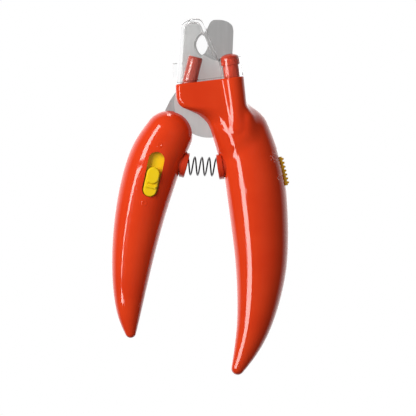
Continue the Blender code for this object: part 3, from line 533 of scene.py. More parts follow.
def head_outline(inset=0.0):
    """The flat plate: leaning top edge, rounded lower left corner, then the S-curve down to the horn."""
    left = -13.9 + inset
    top_left = on_head(-23.6 + inset, -inset)
    corner = arc((left + 5.6 - inset, 3.4), (5.6 - inset, 6.1 - inset), 180, 243, 10)
    s_curve = smooth_line([corner[-1], (-5.9, -4.2), (-3.6, -5.6), (-1.6, -7.4), (0.2, -9.9), (1.7, -13.0),
                           (3.0, -16.6), (4.4, -20.4)], 4)[1:]
    s_curve = [(x + 0.75 * inset, z + 0.65 * inset) for x, z in s_curve]
    inner = [(9.0, -21.0), (17.5, -14.0), (18.0, -5.5)]
    right = [on_head(4.4 - inset, -12.0), on_head(4.4 - inset, -inset)]
    return [top_left] + corner + s_curve + inner + right


def cover_outline():
    """Straight left side, arched top, slanting right side that runs down to the sleeve."""
    top = smooth_line(COVER_TOP, 4)
    slope = [(0.3, 27.6), (2.5, 21.8), (4.1, 17.6)]
    bottom_right = [on_head(-4.3, 4.6), on_head(-4.3, COVER_FOOT)]
    return [on_head(-23.4, COVER_FOOT), (-12.95, 18.5)] + top + slope + bottom_right


def bite_outline(start, end, steps, extra=0.0):
    """The nail hole's edge: an eye with softly pointed ends, angles in degrees from +X towards +Z."""
    out = []
    for i in range(steps + 1):
        angle = math.radians(start + (end - start) * i / steps)
        cos, sin = math.cos(angle), math.sin(angle)
        across = abs(cos) ** EYE_POINTED * math.copysign(EYE_HALF[0] + extra, cos)
        along = abs(sin) ** EYE_POINTED * math.copysign(EYE_HALF[1] + 0.2 + extra, sin)
        out.append((EYE_CENTRE[0] + across, EYE_CENTRE[1] + along))
    return out


def front_blade_outline():
    upper = [(-12.0, 8.5), (-11.2, 20.0), (-10.6, 31.4)]
    tip = arc((-6.6, 28.6), (4.0, 5.6), 130, 62, 12) + [(-3.3, 32.4), (-2.4, 29.3)]
    bite = bite_outline(80, 262, 40)
    lower = [(-2.0, 19.9), (2.1, 18.0), (6.5, 17.0), (10.5, 12.0)]
    disc_right = arc((0, 0), DISC_R, 38, -28, 24)
    disc_low = arc((0, 0), DISC_R, -78, -135, 24)
    angle = math.radians(44.0)
    tooth = [(x * math.cos(angle) - z * math.sin(angle), x * math.sin(angle) + z * math.cos(angle))
             for x, z in ((-DISC_R, 0.75), (-17.3, 0.55), (-17.3, -0.55), (-DISC_R, -0.75))]
    disc_left = arc((0, 0), DISC_R, -142, -192, 20)
    return upper + tip + bite + lower + disc_right + FRONT_TANG + disc_low + tooth + disc_left


def rear_blade_outline():
    bite = bite_outline(-80, 84, 40)
    edge = [(-2.3, 29.0), (-0.6, 31.6)]
    tip = smooth_line([(0.2, 33.3), (1.2, 34.5), (2.6, 34.9), (5.6, 34.8), (8.2, 33.9), (9.8, 32.4),
                       (10.3, 30.2)], 4)
    right = [(9.9, 20.6), (12.0, 12.0)]
    disc_right = arc((0, 0), 14.0, 30, -118, 40)
    inner = [(-9.0, 11.5), (-5.2, 19.0)]
    return bite + edge + tip + right + disc_right + REAR_TANG + inner


def grown(outline, by=GAP):
    """An outline pushed outwards, corner by corner."""
    out = []
    count = len(outline)
    area = sum(outline[i][0] * outline[(i + 1) % count][1] - outline[(i + 1) % count][0] * outline[i][1]
               for i in range(count))
    sign = 1 if area > 0 else -1
    for i in range(count):
        before, here, after = (Vector(outline[(i + k) % count]) for k in (-1, 0, 1))
        first, second = (here - before).normalized(), (after - here).normalized()
        normal = Vector((first.y + second.y, -first.x - second.x)).normalized() * sign
        spread = max(0.5, normal.dot(Vector((first.y, -first.x)) * sign))
        out.append(tuple(here + normal * (by / spread)))
    return out


# ---------------------------------------------------------------- materials

def node(tree, kind, **values):
    made = tree.nodes.new(kind)
    for key, value in values.items():
        if key in made.inputs:
            made.inputs[key].default_value = value
        else:
            setattr(made, key, value)
    return made


def fed(tree, made, values):
    """Feeds a node's inputs, in order, with sockets or plain values."""
    for socket, value in zip(made.inputs, values):
        if isinstance(value, bpy.types.NodeSocket):
            tree.links.new(value, socket)
        else:
            socket.default_value = value
    return made


def calc(tree, operation, *values):
    return fed(tree, node(tree, "ShaderNodeMath", operation=operation), values).outputs[0]


def vector_calc(tree, operation, *values):
    made = fed(tree, node(tree, "ShaderNodeVectorMath", operation=operation), values)
    return made.outputs["Value" if operation in ("DISTANCE", "DOT_PRODUCT") else "Vector"]


def split(tree, vector):
    return fed(tree, tree.nodes.new("ShaderNodeSeparateXYZ"), (vector,)).outputs


def number_mix(tree, factor, a, b):
    """Between the numbers a and b."""
    made = node(tree, "ShaderNodeMix", data_type="FLOAT")
    for socket, value in ((made.inputs[0], factor), (made.inputs[2], a), (made.inputs[3], b)):
        if isinstance(value, float):
            socket.default_value = value
        else:
            tree.links.new(value, socket)
    return made.outputs[0]


def base_material(name):
    material = bpy.data.materials.new(name)
    material.use_nodes = True
    tree = material.node_tree
    return material, tree, tree.nodes["Principled BSDF"]


def noise(tree, scale, detail=4.0, stretch=(1, 1, 1), distort=0.0):
    place = tree.nodes.new("ShaderNodeNewGeometry")
    mapping = node(tree, "ShaderNodeMapping")
    mapping.inputs["Scale"].default_value = stretch
    made = node(tree, "ShaderNodeTexNoise", Scale=scale, Detail=detail, Distortion=distort)
    tree.links.new(place.outputs["Position"], mapping.inputs["Vector"])
    tree.links.new(mapping.outputs["Vector"], made.inputs["Vector"])
    return made.outputs["Fac"]


def ramp(tree, value, low, high, out_low, out_high):
    made = node(tree, "ShaderNodeMapRange")
    for key, number in (("From Min", low), ("From Max", high), ("To Min", out_low), ("To Max", out_high)):
        made.inputs[key].default_value = number
    tree.links.new(value, made.inputs["Value"])
    return made.outputs["Result"]


def mix(tree, factor, a, b):
    made = node(tree, "ShaderNodeMix", data_type="RGBA")
    for socket, value in ((made.inputs[6], a), (made.inputs[7], b)):
        if isinstance(value, tuple):
            socket.default_value = (*value, 1.0)
        else:
            tree.links.new(value, socket)
    tree.links.new(factor, made.inputs[0])
    return made.outputs[2]


def edge_wear(tree, radius):
    """0 on flats, towards 1 where the surface turns sharply."""
    bevel = node(tree, "ShaderNodeBevel", samples=4)
    bevel.inputs["Radius"].default_value = radius
    place = tree.nodes.new("ShaderNodeNewGeometry")
    alike = vector_calc(tree, "DOT_PRODUCT", bevel.outputs["Normal"], place.outputs["Normal"])
    return ramp(tree, alike, 0.98, 0.7, 0.0, 1.0)


def bump(tree, shader, height, distance, strength=1.0):
    """Relief, on top of any that the shader already has."""
    made = node(tree, "ShaderNodeBump")
    made.inputs["Strength"].default_value = strength
    made.inputs["Distance"].default_value = distance
    tree.links.new(height, made.inputs["Height"])
    for link in shader.inputs["Normal"].links:
        tree.links.new(link.from_socket, made.inputs["Normal"])
    tree.links.new(made.outputs["Normal"], shader.inputs["Normal"])


def mark_height(tree, marks):
    """Raised rings, some with rays round them, as a height from 0 to 1."""
    place = tree.nodes.new("ShaderNodeTexCoord")
    flat = vector_calc(tree, "MULTIPLY", place.outputs["Object"], (1.0, 0.0, 1.0))
    total = None
    for x, z, radius, rays in marks:
        away = vector_calc(tree, "DISTANCE", flat, (x, 0.0, z))
        off_ring = calc(tree, "ABSOLUTE", calc(tree, "SUBTRACT", away, radius))
        height = ramp(tree, off_ring, 0.00022, 0.0004, 1.0, 0.0)
        if rays:
            parts = split(tree, vector_calc(tree, "SUBTRACT", flat, (x, 0.0, z)))
            angle = calc(tree, "ARCTAN2", parts["X"], parts["Z"])
            wave = calc(tree, "SINE", calc(tree, "MULTIPLY", angle, float(rays)))
            band = calc(tree, "MULTIPLY", ramp(tree, away, radius * 1.9, radius * 2.0, 1.0, 0.0),
                        ramp(tree, away, radius * 1.35, radius * 1.45, 0.0, 1.0))
            spokes = calc(tree, "MULTIPLY", ramp(tree, wave, 0.3, 0.6, 0.0, 1.0), band)
            height = calc(tree, "MAXIMUM", height, spokes)
        total = height if total is None else calc(tree, "MAXIMUM", total, height)
    return total


def glossy_plastic(name, deep, light, roughness=0.055, ripple=0.000004, marks=()):
    """Moulded glossy plastic: slight colour drift, faint ripple, dusty roughness, paler worn edges."""
    material, tree, shader = base_material(name)
    drift = ramp(tree, noise(tree, 60.0, 2.0), 0.3, 0.7, 0.0, 1.0)
    colour = mix(tree, drift, deep, light)
    worn = tuple(min(1.0, c * 1.25 + 0.02) for c in light)
    wear = edge_wear(tree, 0.0003)
    colour = mix(tree, ramp(tree, wear, 0.0, 1.0, 0.0, 0.5), colour, worn)
    tree.links.new(colour, shader.inputs["Base Color"])
    dust = ramp(tree, noise(tree, 900.0, 6.0), 0.35, 0.75, roughness, roughness + 0.04)
    tree.links.new(dust, shader.inputs["Roughness"])
    bump(tree, shader, noise(tree, 140.0, 2.0), ripple, 0.6)
    if marks:
        bump(tree, shader, mark_height(tree, marks), MARK_RAISED)
    shader.inputs["IOR"].default_value = 1.5
    return material


def ground_steel(name, dark, light, roughness, stretch, grain=700.0, height=0.000004, metallic=1.0):
    """Steel ground along one way: fine scratches in colour, roughness and height, brighter at its edges."""
    material, tree, shader = base_material(name)
    lines = noise(tree, grain, 5.0, stretch)
    cloud = noise(tree, 90.0, 3.0)
    colour = mix(tree, ramp(tree, lines, 0.3, 0.7, 0.0, 1.0), dark, light)
    wear = edge_wear(tree, 0.00025)
    colour = mix(tree, ramp(tree, wear, 0.0, 1.0, 0.0, 0.6), colour, (0.9, 0.9, 0.9))
    tree.links.new(colour, shader.inputs["Base Color"])
    rough = ramp(tree, cloud, 0.3, 0.7, roughness - 0.05, roughness + 0.07)
    tree.links.new(rough, shader.inputs["Roughness"])
    shader.inputs["Metallic"].default_value = metallic
    bump(tree, shader, lines, height, 0.5)
    return material


def clear_plastic(name, tint, roughness=0.02, painted_edge_shade=0.0):
    """Clear polished plastic, faintly rippled and scratched, with painted dark shade on its top and slanting
    walls.
    """
    material, tree, shader = base_material(name)
    place = tree.nodes.new("ShaderNodeNewGeometry").outputs
    rim = calc(tree, "ABSOLUTE", vector_calc(tree, "DOT_PRODUCT", place["True Normal"], RIM_WAY))
    right_of_tab = ramp(tree, split(tree, place["Position"])["X"], -0.0131, -0.0127, 0.0, 1.0)
    # Painted shade: right of the tab, the top and slanting walls get a dark brown tint in place of the dark edges
    # that refraction shows.
    edge = calc(tree, "MULTIPLY", ramp(tree, rim, 0.4, 0.75, 0.0, painted_edge_shade), right_of_tab)
    tree.links.new(mix(tree, edge, tint, (0.16, 0.11, 0.10)), shader.inputs["Base Color"])
    shader.inputs["Transmission Weight"].default_value = 1.0
    shader.inputs["IOR"].default_value = 1.3
    scratches = noise(tree, 800.0, 6.0, (1.0, 1.0, 0.15))
    tree.links.new(ramp(tree, scratches, 0.5, 0.8, roughness, roughness + 0.05), shader.inputs["Roughness"])
    bump(tree, shader, noise(tree, 110.0, 2.0), 0.000003, 0.4)
    return material


def make_materials():
    red = ((0.66, 0.040, 0.008), (0.72, 0.052, 0.011))
    along_blade = (1.0, 1.0, 0.06)
    every_way = (1.0, 1.0, 1.0)
    return {
        "red": glossy_plastic("red_gloss", *red),
        "red_left": glossy_plastic("red_gloss_left", *red, marks=LEFT_MARKS),
        "red_right": glossy_plastic("red_gloss_right", *red, marks=RIGHT_MARKS),
        "red_cup": glossy_plastic("red_cup", (0.50, 0.030, 0.009), (0.58, 0.04, 0.012), 0.16),
        # Painted shade: darker copies of the red, standing in for shade on the post in its clear sleeve and on the
        # lamp barrel under the cover.
        "red_post_painted_shade": glossy_plastic("red_post_painted_shade", (0.48, 0.040, 0.018), (0.54, 0.05, 0.022), 0.07),
        "red_lamp_painted_shade": glossy_plastic("red_lamp_painted_shade", (0.40, 0.070, 0.050), (0.46, 0.08, 0.058), 0.07),
        "yellow": glossy_plastic("yellow_gloss", (0.83, 0.56, 0.006), (0.90, 0.64, 0.012), 0.2),
        "amber": glossy_plastic("amber_gloss", (0.78, 0.40, 0.006), (0.86, 0.47, 0.010), 0.25),
        "blade": ground_steel("blade_ground", (0.53, 0.535, 0.53), (0.57, 0.575, 0.57), 0.42, along_blade,
                              metallic=0.25),
        "blade_dark": ground_steel("blade_ground_rear", (0.38, 0.38, 0.378), (0.43, 0.43, 0.428), 0.5,
                                   along_blade, metallic=0.25),
        "steel": ground_steel("plated_steel", (0.5, 0.5, 0.5), (0.62, 0.62, 0.61), 0.25, every_way, 1500.0),
        "spring": ground_steel("spring_wire", (0.025, 0.025, 0.027), (0.06, 0.06, 0.062), 0.32, every_way,
                               2500.0),
        "brass": ground_steel("brass_strip", (0.62, 0.40, 0.12), (0.75, 0.52, 0.2), 0.3, (0.1, 1.0, 1.0)),
        "dark": glossy_plastic("dark_moulded", (0.015, 0.015, 0.016), (0.03, 0.03, 0.03), 0.4, 0.00002),
        # The clear cover gets painted dark shade on its top and slanting walls.
        "clear": clear_plastic("clear_cover", (1.0, 1.0, 1.0), painted_edge_shade=0.8),
        "lens": clear_plastic("clear_lamp", (0.93, 0.96, 1.0), 0.05),
    }


# ---------------------------------------------------------------- handles

def screw_parts(tag, screws, is_front, tang_is_front):
    """The bosses and the holes of one shell's screws. A boss stops short of the tang it would meet."""
    ahead = (0, 1, 0)
    bosses, holes = [], []
    for i, (x, z, reach) in enumerate(screws):
        with_tang = i < (1 if tang_is_front else 2)
        if is_front:
            end = -BLADE_FAR - GAP if with_tang and tang_is_front else -GAP / 2
            bosses.append(cylinder(f"{tag}_boss_{i}", (x, (end - reach) / 2, z), ahead, SCREW_BOSS_R,
                                   end + reach, sides=28))
            holes.append(cylinder(f"{tag}_hole_{i}", (x, 0, z), ahead, SCREW_HOLE_R, 8.0, sides=28))
        else:
            end = BLADE_FAR + GAP if with_tang and not tang_is_front else GAP / 2
            bosses.append(cylinder(f"{tag}_boss_{i}", (x, (reach + end) / 2, z), ahead, SCREW_BOSS_R + 0.6,
                                   reach - end, sides=28))
            hole = cylinder(f"{tag}_hole_{i}", (x, 0, z), ahead, SCREW_HOLE_R, 40.0, sides=28)
            well = cylinder(f"{tag}_well_{i}", (x, SCREW_SEAT + 8, z), ahead, SCREW_HEAD_R + GAP, 16.0,
                            sides=32)
            holes.append(boolean(hole, well, "UNION"))
    return bosses, holes


def cup_room(tag, seat, inward):
    """Room for a spring cup's neck and flange."""
    neck = cylinder(tag + "_neck_room", seat - inward * 3.6, inward, CUP_NECK_R + GAP, 8.0)
    middle = seat + inward * (3.0 - CUP_FLANGE - GAP)
    flange = cylinder(tag + "_flange_room", middle, inward, CUP_R + GAP, 6.0)
    return boolean(neck, flange, "UNION")


def carve(shell, void, bosses, cuts):
    """Hollows a solid handle half, adds its bosses and makes its cuts."""
    shell = boolean(shell, void)
    for boss in bosses:
        shell = boolean(shell, boss, "UNION")
    for cut in cuts:
        shell = boolean(shell, cut)
    return shell


def half_block(keep_front):
    centre_y = 30 - GAP / 2 if keep_front else GAP / 2 - 30
    return block("half", (0, centre_y, -40), (160, 60, 260))


def lock_outline(along, length, width):
    return oblong(LOCK_REST + LOCK_UP * along, LOCK_UP, LOCK_SIDE, length, width)


def left_field(p):
    return horn_field(p, LEFT_HORN)


def horn_box(stations, pad=1.6):
    line = smooth_line(stations, 4)
    low = [min(x - r for x, z, r in line) - pad, 0, min(z - r for x, z, r in line) - pad]
    high = [max(x + r for x, z, r in line) + pad, 0, max(z + r for x, z, r in line) + pad]
    return low, high


def head_and_horn(p):
    """The horn's field, and that of the head's plate, which bends away from its ridge into the horn."""
    horn = horn_field(p, RIGHT_HORN)
    sunk = p.copy()
    across = (p[..., 0] - RIDGE[0]) * RIDGE_LEFT[0] + (p[..., 2] - RIDGE[1]) * RIDGE_LEFT[1]
    curved = np.clip(across + RIDGE_NEAR, 0.0, RIDGE_WIDE)
    level = np.clip(across + RIDGE_NEAR - RIDGE_WIDE, 0.0, RIDGE_END)
    fall = RIDGE_BEND / 2 * curved ** 2 + RIDGE_BEND * RIDGE_WIDE * level
    down = -p[..., 2]
    sunk[..., 1] = p[..., 1] - ease((down - 1.5) / 8.0) * fall - 2.0 * ease((down - 10.0) / 12.0)
    outline = [on_head(-23.6, 4.0)] + head_outline()[1:-1] + [on_head(4.4, 4.0)]
    plate = plate_field(sunk, outline, HEAD_FRONT, -HEAD_NEAR + 5.0, 2.5)
    return horn, plate


def right_front_field(p):
    """Horn, flat plate and knuckle, melted together by fillets and cut flat along the head's top line."""
    horn, plate = head_and_horn(p)
    plate = np.maximum(plate, p[..., 1] + HEAD_NEAR)
    up = np.array(POST_UP)
    foot = np.array(POST_FOOT)
    knuckle = cone_field(p, foot + 3 * up, foot - KNUCKLE_LENGTH * up, KNUCKLE_R + 0.1, KNUCKLE_END_R)
    whole = soft_min(soft_min(horn, plate, 5.0), knuckle, 1.1)
    return soft_max(whole, (p - foot) @ up, 0.5)


def right_front_void(p):
    horn, plate = head_and_horn(p)
    below_top = (p - np.array(POST_FOOT)) @ np.array(POST_UP)
    return np.maximum(np.minimum(horn, plate), below_top) + WALL


def right_back_field(p):
    horn = horn_field(p, RIGHT_HORN)
    cheek = plate_field(p, head_outline(0.8), HEAD_NEAR + 0.1 - 3.0, HEAD_BACK, 1.3)
    cheek = np.maximum(cheek, HEAD_NEAR + 0.1 - p[..., 1])
    return soft_min(horn, cheek, 2.0)


def make_left_handle(red):
    low, high = horn_box(LEFT_HORN)
    low[1], high[1] = -11.5, 11.5
    solid = surface_net("left_solid", left_field, low, high, FIELD_STEP)
    hollow = surface_net("left_void", lambda p: left_field(p) + WALL, low, high, VOID_STEP)
    slot = flat_piece("lock_slot", oblong(LOCK_SLOT, LOCK_UP, LOCK_SIDE, 19.3, 6.7), -14, -5)
    room = lock_outline(LOCK_TRAVEL / 2, LOCK_PLATE[0] + LOCK_TRAVEL + 2 * GAP, LOCK_PLATE[1] + 2 * GAP)
    pocket = flat_piece("lock_pocket", room, LOCK_PLATE_Y - GAP, LOCK_PLATE_Y + 2.2)
    disc = cylinder("disc", (0, 0, 0), (0, 1, 0), DISC_R + 0.5, 2 * (BLADE_FAR + GAP), sides=96)
    tang = flat_piece("tang", grown(REAR_TANG + [(-4.0, 4.0), (-2.0, -10.0)]), -1.0, BLADE_FAR + GAP)
    for is_front in (True, False):
        tag = "left_front_shell" if is_front else "left_back_shell"
        shell = new_object(tag, solid.data.copy())
        void = new_object(tag + "_void", hollow.data.copy())
        bosses, holes = screw_parts(tag, LEFT_SCREWS, is_front, False)
        cuts = holes + [new_object(tag + "_disc", disc.data.copy()), cup_room(tag, SPRING_LEFT, CUP_LEFT_WAY)]
        if is_front:
            cuts += [slot, pocket]
        else:
            cuts.append(tang)
        shell = boolean(shell, half_block(is_front))
        shell = carve(shell, void, bosses, cuts)
        shell.name = "left_front_skin" if is_front else "left_back_skin"
        finish(shell, red, "left_handle", tag, weighted=False)
    for spare in (solid, hollow, disc):
        bpy.data.objects.remove(spare, do_unlink=True)


def door_outline(inset):
    return oblong(CELLS_MIDDLE, Vector((0, 0, 1)), Vector((1, 0, 0)), 24.0 - 2 * inset, 14.6 - 2 * inset, 20)


def right_openings(tag):
    size = (14, SWITCH_WIDTH, SWITCH_LENGTH + SWITCH_TRAVEL + 2 * GAP)
    return [block(tag + "_switch_slot", SWITCH_POINT, size, SWITCH_OUT, SWITCH_UP),
            cup_room(tag, SPRING_RIGHT, CUP_RIGHT_WAY)]


def make_right_handle(red):
    low, high = horn_box(RIGHT_HORN)
    low[0] = -17.0
    high[2] = 14.0
    low_front, high_front = list(low), list(high)
    low_front[1], high_front[1] = -14.5, 1.8
    front = surface_net("right_front_skin", right_front_field, low_front, high_front, FIELD_STEP)
    void = surface_net("right_front_void", right_front_void, low_front, [high[0], 4.0, high[2]], VOID_STEP, 2)
    front = boolean(front, half_block(True))
    bosses, holes = screw_parts("rf", RIGHT_SCREWS, True, True)
    cuts = holes + [
        flat_piece("tang", grown(FRONT_TANG + [(2.7, -14.6), (0.0, -10.0), (8.0, -4.0)]), -BLADE_FAR - GAP,
                   1.0),
        cylinder("disc", (0, 0, 0), (0, 1, 0), DISC_R + 0.5, 2 * (BLADE_FAR + GAP), sides=96),
        cylinder("post_bore", POST_FOOT - POST_UP * 5, POST_UP, 2.4 + GAP, 14.6),
        cylinder("post_seat", POST_FOOT, POST_UP, POST_NECK_R + GAP, 2.4),
        cylinder("lamp_hole", LAMP_FOOT, LAMP_WAY, LAMP_R + GAP, 9),
    ] + right_openings("rf")
    front = carve(front, void, bosses, cuts)
    finish(front, red, "right_handle", "right_front_shell", weighted=False)

    low[1], high[1] = -1.8, 12.5
    solid_back = surface_net("right_back_skin", right_back_field, low, high, FIELD_STEP)
    door_wall = new_object("battery_door_skin", solid_back.data.copy())
    inner_field = lambda p: horn_field(p, RIGHT_HORN) + WALL
    inner = surface_net("right_inner", inner_field, [low[0], -4.0, low[2]], high, VOID_STEP, 2)
    door_inner = new_object("door_inner", inner.data.copy())
    back = boolean(solid_back, half_block(False))
    bosses, holes = screw_parts("rb", RIGHT_SCREWS, False, True)
    cuts = holes + [
        cylinder("disc_b", (0, 0, 0), (0, 1, 0), DISC_R + 0.55, 2 * BLADE_FAR + 0.5, sides=96),
        cylinder("nut_room", (0, 2.0, 0), (0, 1, 0), 5.2, 7.0),
        flat_piece("door_opening", door_outline(0.0), 3.0, 16.0),
    ] + right_openings("rb")
    back = carve(back, inner, bosses, cuts)
    finish(back, red, "right_handle", "right_back_shell", weighted=False)
    door = boolean(door_wall, flat_piece("door_panel", door_outline(GAP), 3.0, 16.0), "INTERSECT")
    door = boolean(door, door_inner)
    finish(door, red, "right_handle", "battery_door", weighted=False)


# ---------------------------------------------------------------- the smaller pieces

def eye_bevel(name, y_edge, y_face, wide):
    """Cutter for the ground edge round the nail hole: a stretched cone, widest at the blade's outer face."""
    bm = bmesh.new()
    rings = []
    sign = 1 if y_face > y_edge else -1
    for y, extra in ((y_edge, 0.0), (y_face, wide), (y_face + sign * 0.6, wide + 0.55)):
        points = bite_outline(0, 360, 96, extra)[:-1]
        rings.append([bm.verts.new((x, y, z)) for x, z in points])
    for a, b in zip(rings[:-1], rings[1:]):
        for i in range(len(a)):
            j = (i + 1) % len(a)
            bm.faces.new((a[i], a[j], b[j], b[i]))
    bm.faces.new(rings[0])
    bm.faces.new(rings[-1])
    return from_bmesh(name, bm)


def make_blades(mats):
    front = flat_piece("front_blade_ground", front_blade_outline(), -BLADE_FAR, -BLADE_NEAR, 0.08, 1)
    front = boolean(front, eye_bevel("front_bevel", -0.45, -BLADE_FAR, 1.0))
    for i, (x, z, radius) in enumerate([(0.0, 0.0, 2.5), (*RIGHT_SCREWS[0][:2], SCREW_HOLE_R + GAP)]):
        front = boolean(front, cylinder(f"hole_{i}", (x, 0, z), (0, 1, 0), radius, 9))
    finish(front, mats["blade"], "right_handle", "front_blade", 20)
    rear = flat_piece("rear_blade_ground", rear_blade_outline(), BLADE_NEAR, BLADE_FAR, 0.08, 1)
    rear = boolean(rear, eye_bevel("rear_bevel", 0.45, BLADE_FAR, 1.0))
    holes = [(0.0, 0.0, 2.5)] + [(x, z, SCREW_HOLE_R + GAP) for x, z, _ in LEFT_SCREWS[:2]]
    for i, (x, z, radius) in enumerate(holes):
        rear = boolean(rear, cylinder(f"hole_{i}", (x, 0, z), (0, 1, 0), radius, 9))
    finish(rear, mats["blade_dark"], "left_handle", "rear_blade", 20)


def quarter(centre, size, step):
    """A quarter of an oval in a turned profile, from its top round to its side."""
    return [(centre[0] + size[0] * math.cos(math.radians(a)), centre[1] + size[1] * math.sin(math.radians(a)))
            for a in range(90, -1, -step)]


def make_post(red):
    """Post with a domed head, a collar with a fine groove and slots, and a neck that the cover turns on."""
    dome = quarter((0.0, POST_DOME_Z), (POST_COLLAR_R, 1.9), 6)
    dome[0] = (0.0, dome[0][1])
    profile = dome + [(POST_COLLAR_R, POST_DOME_Z - 0.1), (POST_COLLAR_R - 0.12, POST_DOME_Z - 0.25),
                      (POST_COLLAR_R - 0.12, POST_DOME_Z - 0.45), (POST_COLLAR_R, POST_DOME_Z - 0.6),
                      (POST_COLLAR_R, POST_COLLAR_Z + 0.15), (POST_COLLAR_R - 0.15, POST_COLLAR_Z),
                      (POST_NECK_R, POST_COLLAR_Z), (POST_NECK_R, 0.0), (2.4, -0.9), (2.4, -11.0),
                      (0.0, -11.0)]
    post = turned("cover_post_turned", profile, POST_FOOT, POST_UP)
    for i, turn in enumerate((18.0, 60.0, 120.0, 180.0, 240.0, 300.0)):
        side = HEAD_RIGHT * math.cos(math.radians(turn)) + Vector((0, -1, 0)) * math.sin(math.radians(turn))
        at = POST_FOOT + POST_UP * 6.7 + side * (POST_COLLAR_R + 0.2)
        post = boolean(post, block(f"post_slot_{i}", at, (1.0, 0.7, 1.9), side, POST_UP, 0.15, 2))
    finish(post, red, "right_handle", "cover_post")


def make_cover(clear):
    """Clear hollow box, open at the back and bottom, with its sleeve round the post and its thumb tab."""
    cover = flat_piece("nail_cover_clear", cover_outline(), HEAD_FRONT, COVER_BACK, 0.7, 4)
    hollow = grown(cover_outline(), -COVER_RIM)
    hollow[0] = on_head(-23.4 + COVER_RIM, -2.0)
    hollow[-3] = on_head(-4.0, 5.8)
    hollow[-2] = on_head(0.0, 4.6)
    hollow[-1] = on_head(0.0, -2.0)
    cover = boolean(cover, flat_piece("cover_hollow", hollow, HEAD_FRONT + COVER_WALL, 4, 0.4, 3))
    wall = [(0.0, 8.5), (KNUCKLE_R - 0.3, 8.5), (KNUCKLE_R, 8.2), (KNUCKLE_R, GAP), (0.0, GAP)]
    cover = boolean(cover, turned("cover_sleeve", wall, POST_FOOT, POST_UP, 96), "UNION")
    tab = block("cover_tab", (-13.9, -6.0, 13.8), (2.4, 4.0, 6.0), (1, 0, 0.04), (-0.04, 0, 1), 0.5, 4)
    cover = boolean(cover, tab, "UNION")
    for name, height, radius in (("sleeve_bore", 2.0, POST_NECK_R + 0.09),
                                 ("sleeve_top", POST_COLLAR_Z - GAP + 5.0, POST_COLLAR_R + 0.09)):
        bore = cylinder(name, POST_FOOT + POST_UP * height, POST_UP, radius, 10, sides=96)
        cover = boolean(cover, bore)
    cover = finish(cover, clear, "cover", "nail_cover", 30)
    cover.visible_shadow = False


def make_lamp(mats):
    """Barrel with a rounded lip, and the domed lamp in it."""
    lip = quarter((LAMP_R - 0.4, LAMP_HEIGHT - 1.1), (0.4, 1.1), 10)[1:]
    bore = [(LAMP_BORE_R, 1.0), (LAMP_BORE_R, LAMP_HEIGHT - 0.2), (LAMP_BORE_R + 0.1, LAMP_HEIGHT)]
    profile = bore + lip + [(LAMP_R, -LAMP_SUNK), (1.3, -LAMP_SUNK), (1.3, 1.0), (LAMP_BORE_R, 1.0)]
    barrel = turned("lamp_barrel_turned", profile, LAMP_FOOT, LAMP_WAY)
    finish(barrel, mats["red_lamp_painted_shade"], "right_handle", "lamp_barrel")
    dome = quarter((0.0, 7.4), (2.4, 2.4), 10)
    dome[0] = (0.0, dome[0][1])
    lamp = turned("lamp_lens", dome + [(2.4, 2.2), (2.45, 2.1), (2.45, 1.6), (0.0, 1.6)], LAMP_FOOT, LAMP_WAY)
    finish(lamp, mats["lens"], "right_handle", "lamp")


def make_lock(mats):
    """Slider knob with a raised step over its upper half and a groove below it, on its sealing plate."""
    knob = flat_piece("lock_slider_knob", lock_outline(0, 12.6, 5.6), -10.1, LOCK_PLATE_Y + 0.4, 0.45, 4)
    step = flat_piece("lock_step", lock_outline(2.6, 7.0, 5.3), -11.0, -8.0, 0.55, 4)
    knob = boolean(knob, step, "UNION")
    at = LOCK_REST - LOCK_UP * 1.1 + Vector((0, -10.6, 0))
    knob = boolean(knob, block("lock_groove", at, (3.6, 1.6, 0.9), LOCK_SIDE, LOCK_UP, 0.3, 3))
    at = LOCK_REST - LOCK_UP * 2.2 + Vector((0, -10.1, 0))
    rib = block("lock_rib", at, (4.6, 1.3, 1.1), LOCK_SIDE, LOCK_UP, 0.35, 4)
    knob = boolean(knob, rib, "UNION")
    plate = flat_piece("lock_plate", lock_outline(0, *LOCK_PLATE), LOCK_PLATE_Y, LOCK_PLATE_Y + 1.0)
    knob = boolean(knob, plate, "UNION")
    peg = block("lock_peg", LOCK_REST + Vector((0, -3.3, 0)), (2.4, 6.0, 2.4), LOCK_SIDE, LOCK_UP)
    knob = boolean(knob, peg, "UNION")
    finish(knob, mats["yellow"], "lock", "lock_slider")


def make_switch(mats):
    """Knob with rounded ribs along its outer face."""
    depth = SWITCH_PROUD + SWITCH_DEEP
    middle = SWITCH_POINT + SWITCH_OUT * (SWITCH_PROUD - depth / 2) - SWITCH_UP * (SWITCH_TRAVEL / 2)
    size = (depth - 0.7, SWITCH_WIDTH - 2 * GAP, SWITCH_LENGTH)
    knob = block("light_switch_knob", middle - SWITCH_OUT * 0.35, size, SWITCH_OUT, SWITCH_UP, 0.3, 3)
    count = 7
    ribbed = SWITCH_LENGTH - 0.6
    for i in range(count):
        up = ribbed / count * (i + 0.5) - ribbed / 2
        at = middle + SWITCH_OUT * (depth / 2 - 0.55) + SWITCH_UP * up
        rib = block(f"rib_{i}", at, (1.1, SWITCH_WIDTH - 2 * GAP - 0.3, 0.95), SWITCH_OUT, SWITCH_UP, 0.38, 3)
        knob = boolean(knob, rib, "UNION")
    lever = middle - SWITCH_OUT * (depth / 2 + 0.6)
    knob = boolean(knob, block("lever", lever, (2.0, 1.6, 1.8), SWITCH_OUT, SWITCH_UP), "UNION")
    finish(knob, mats["amber"], "light_switch", "light_switch")


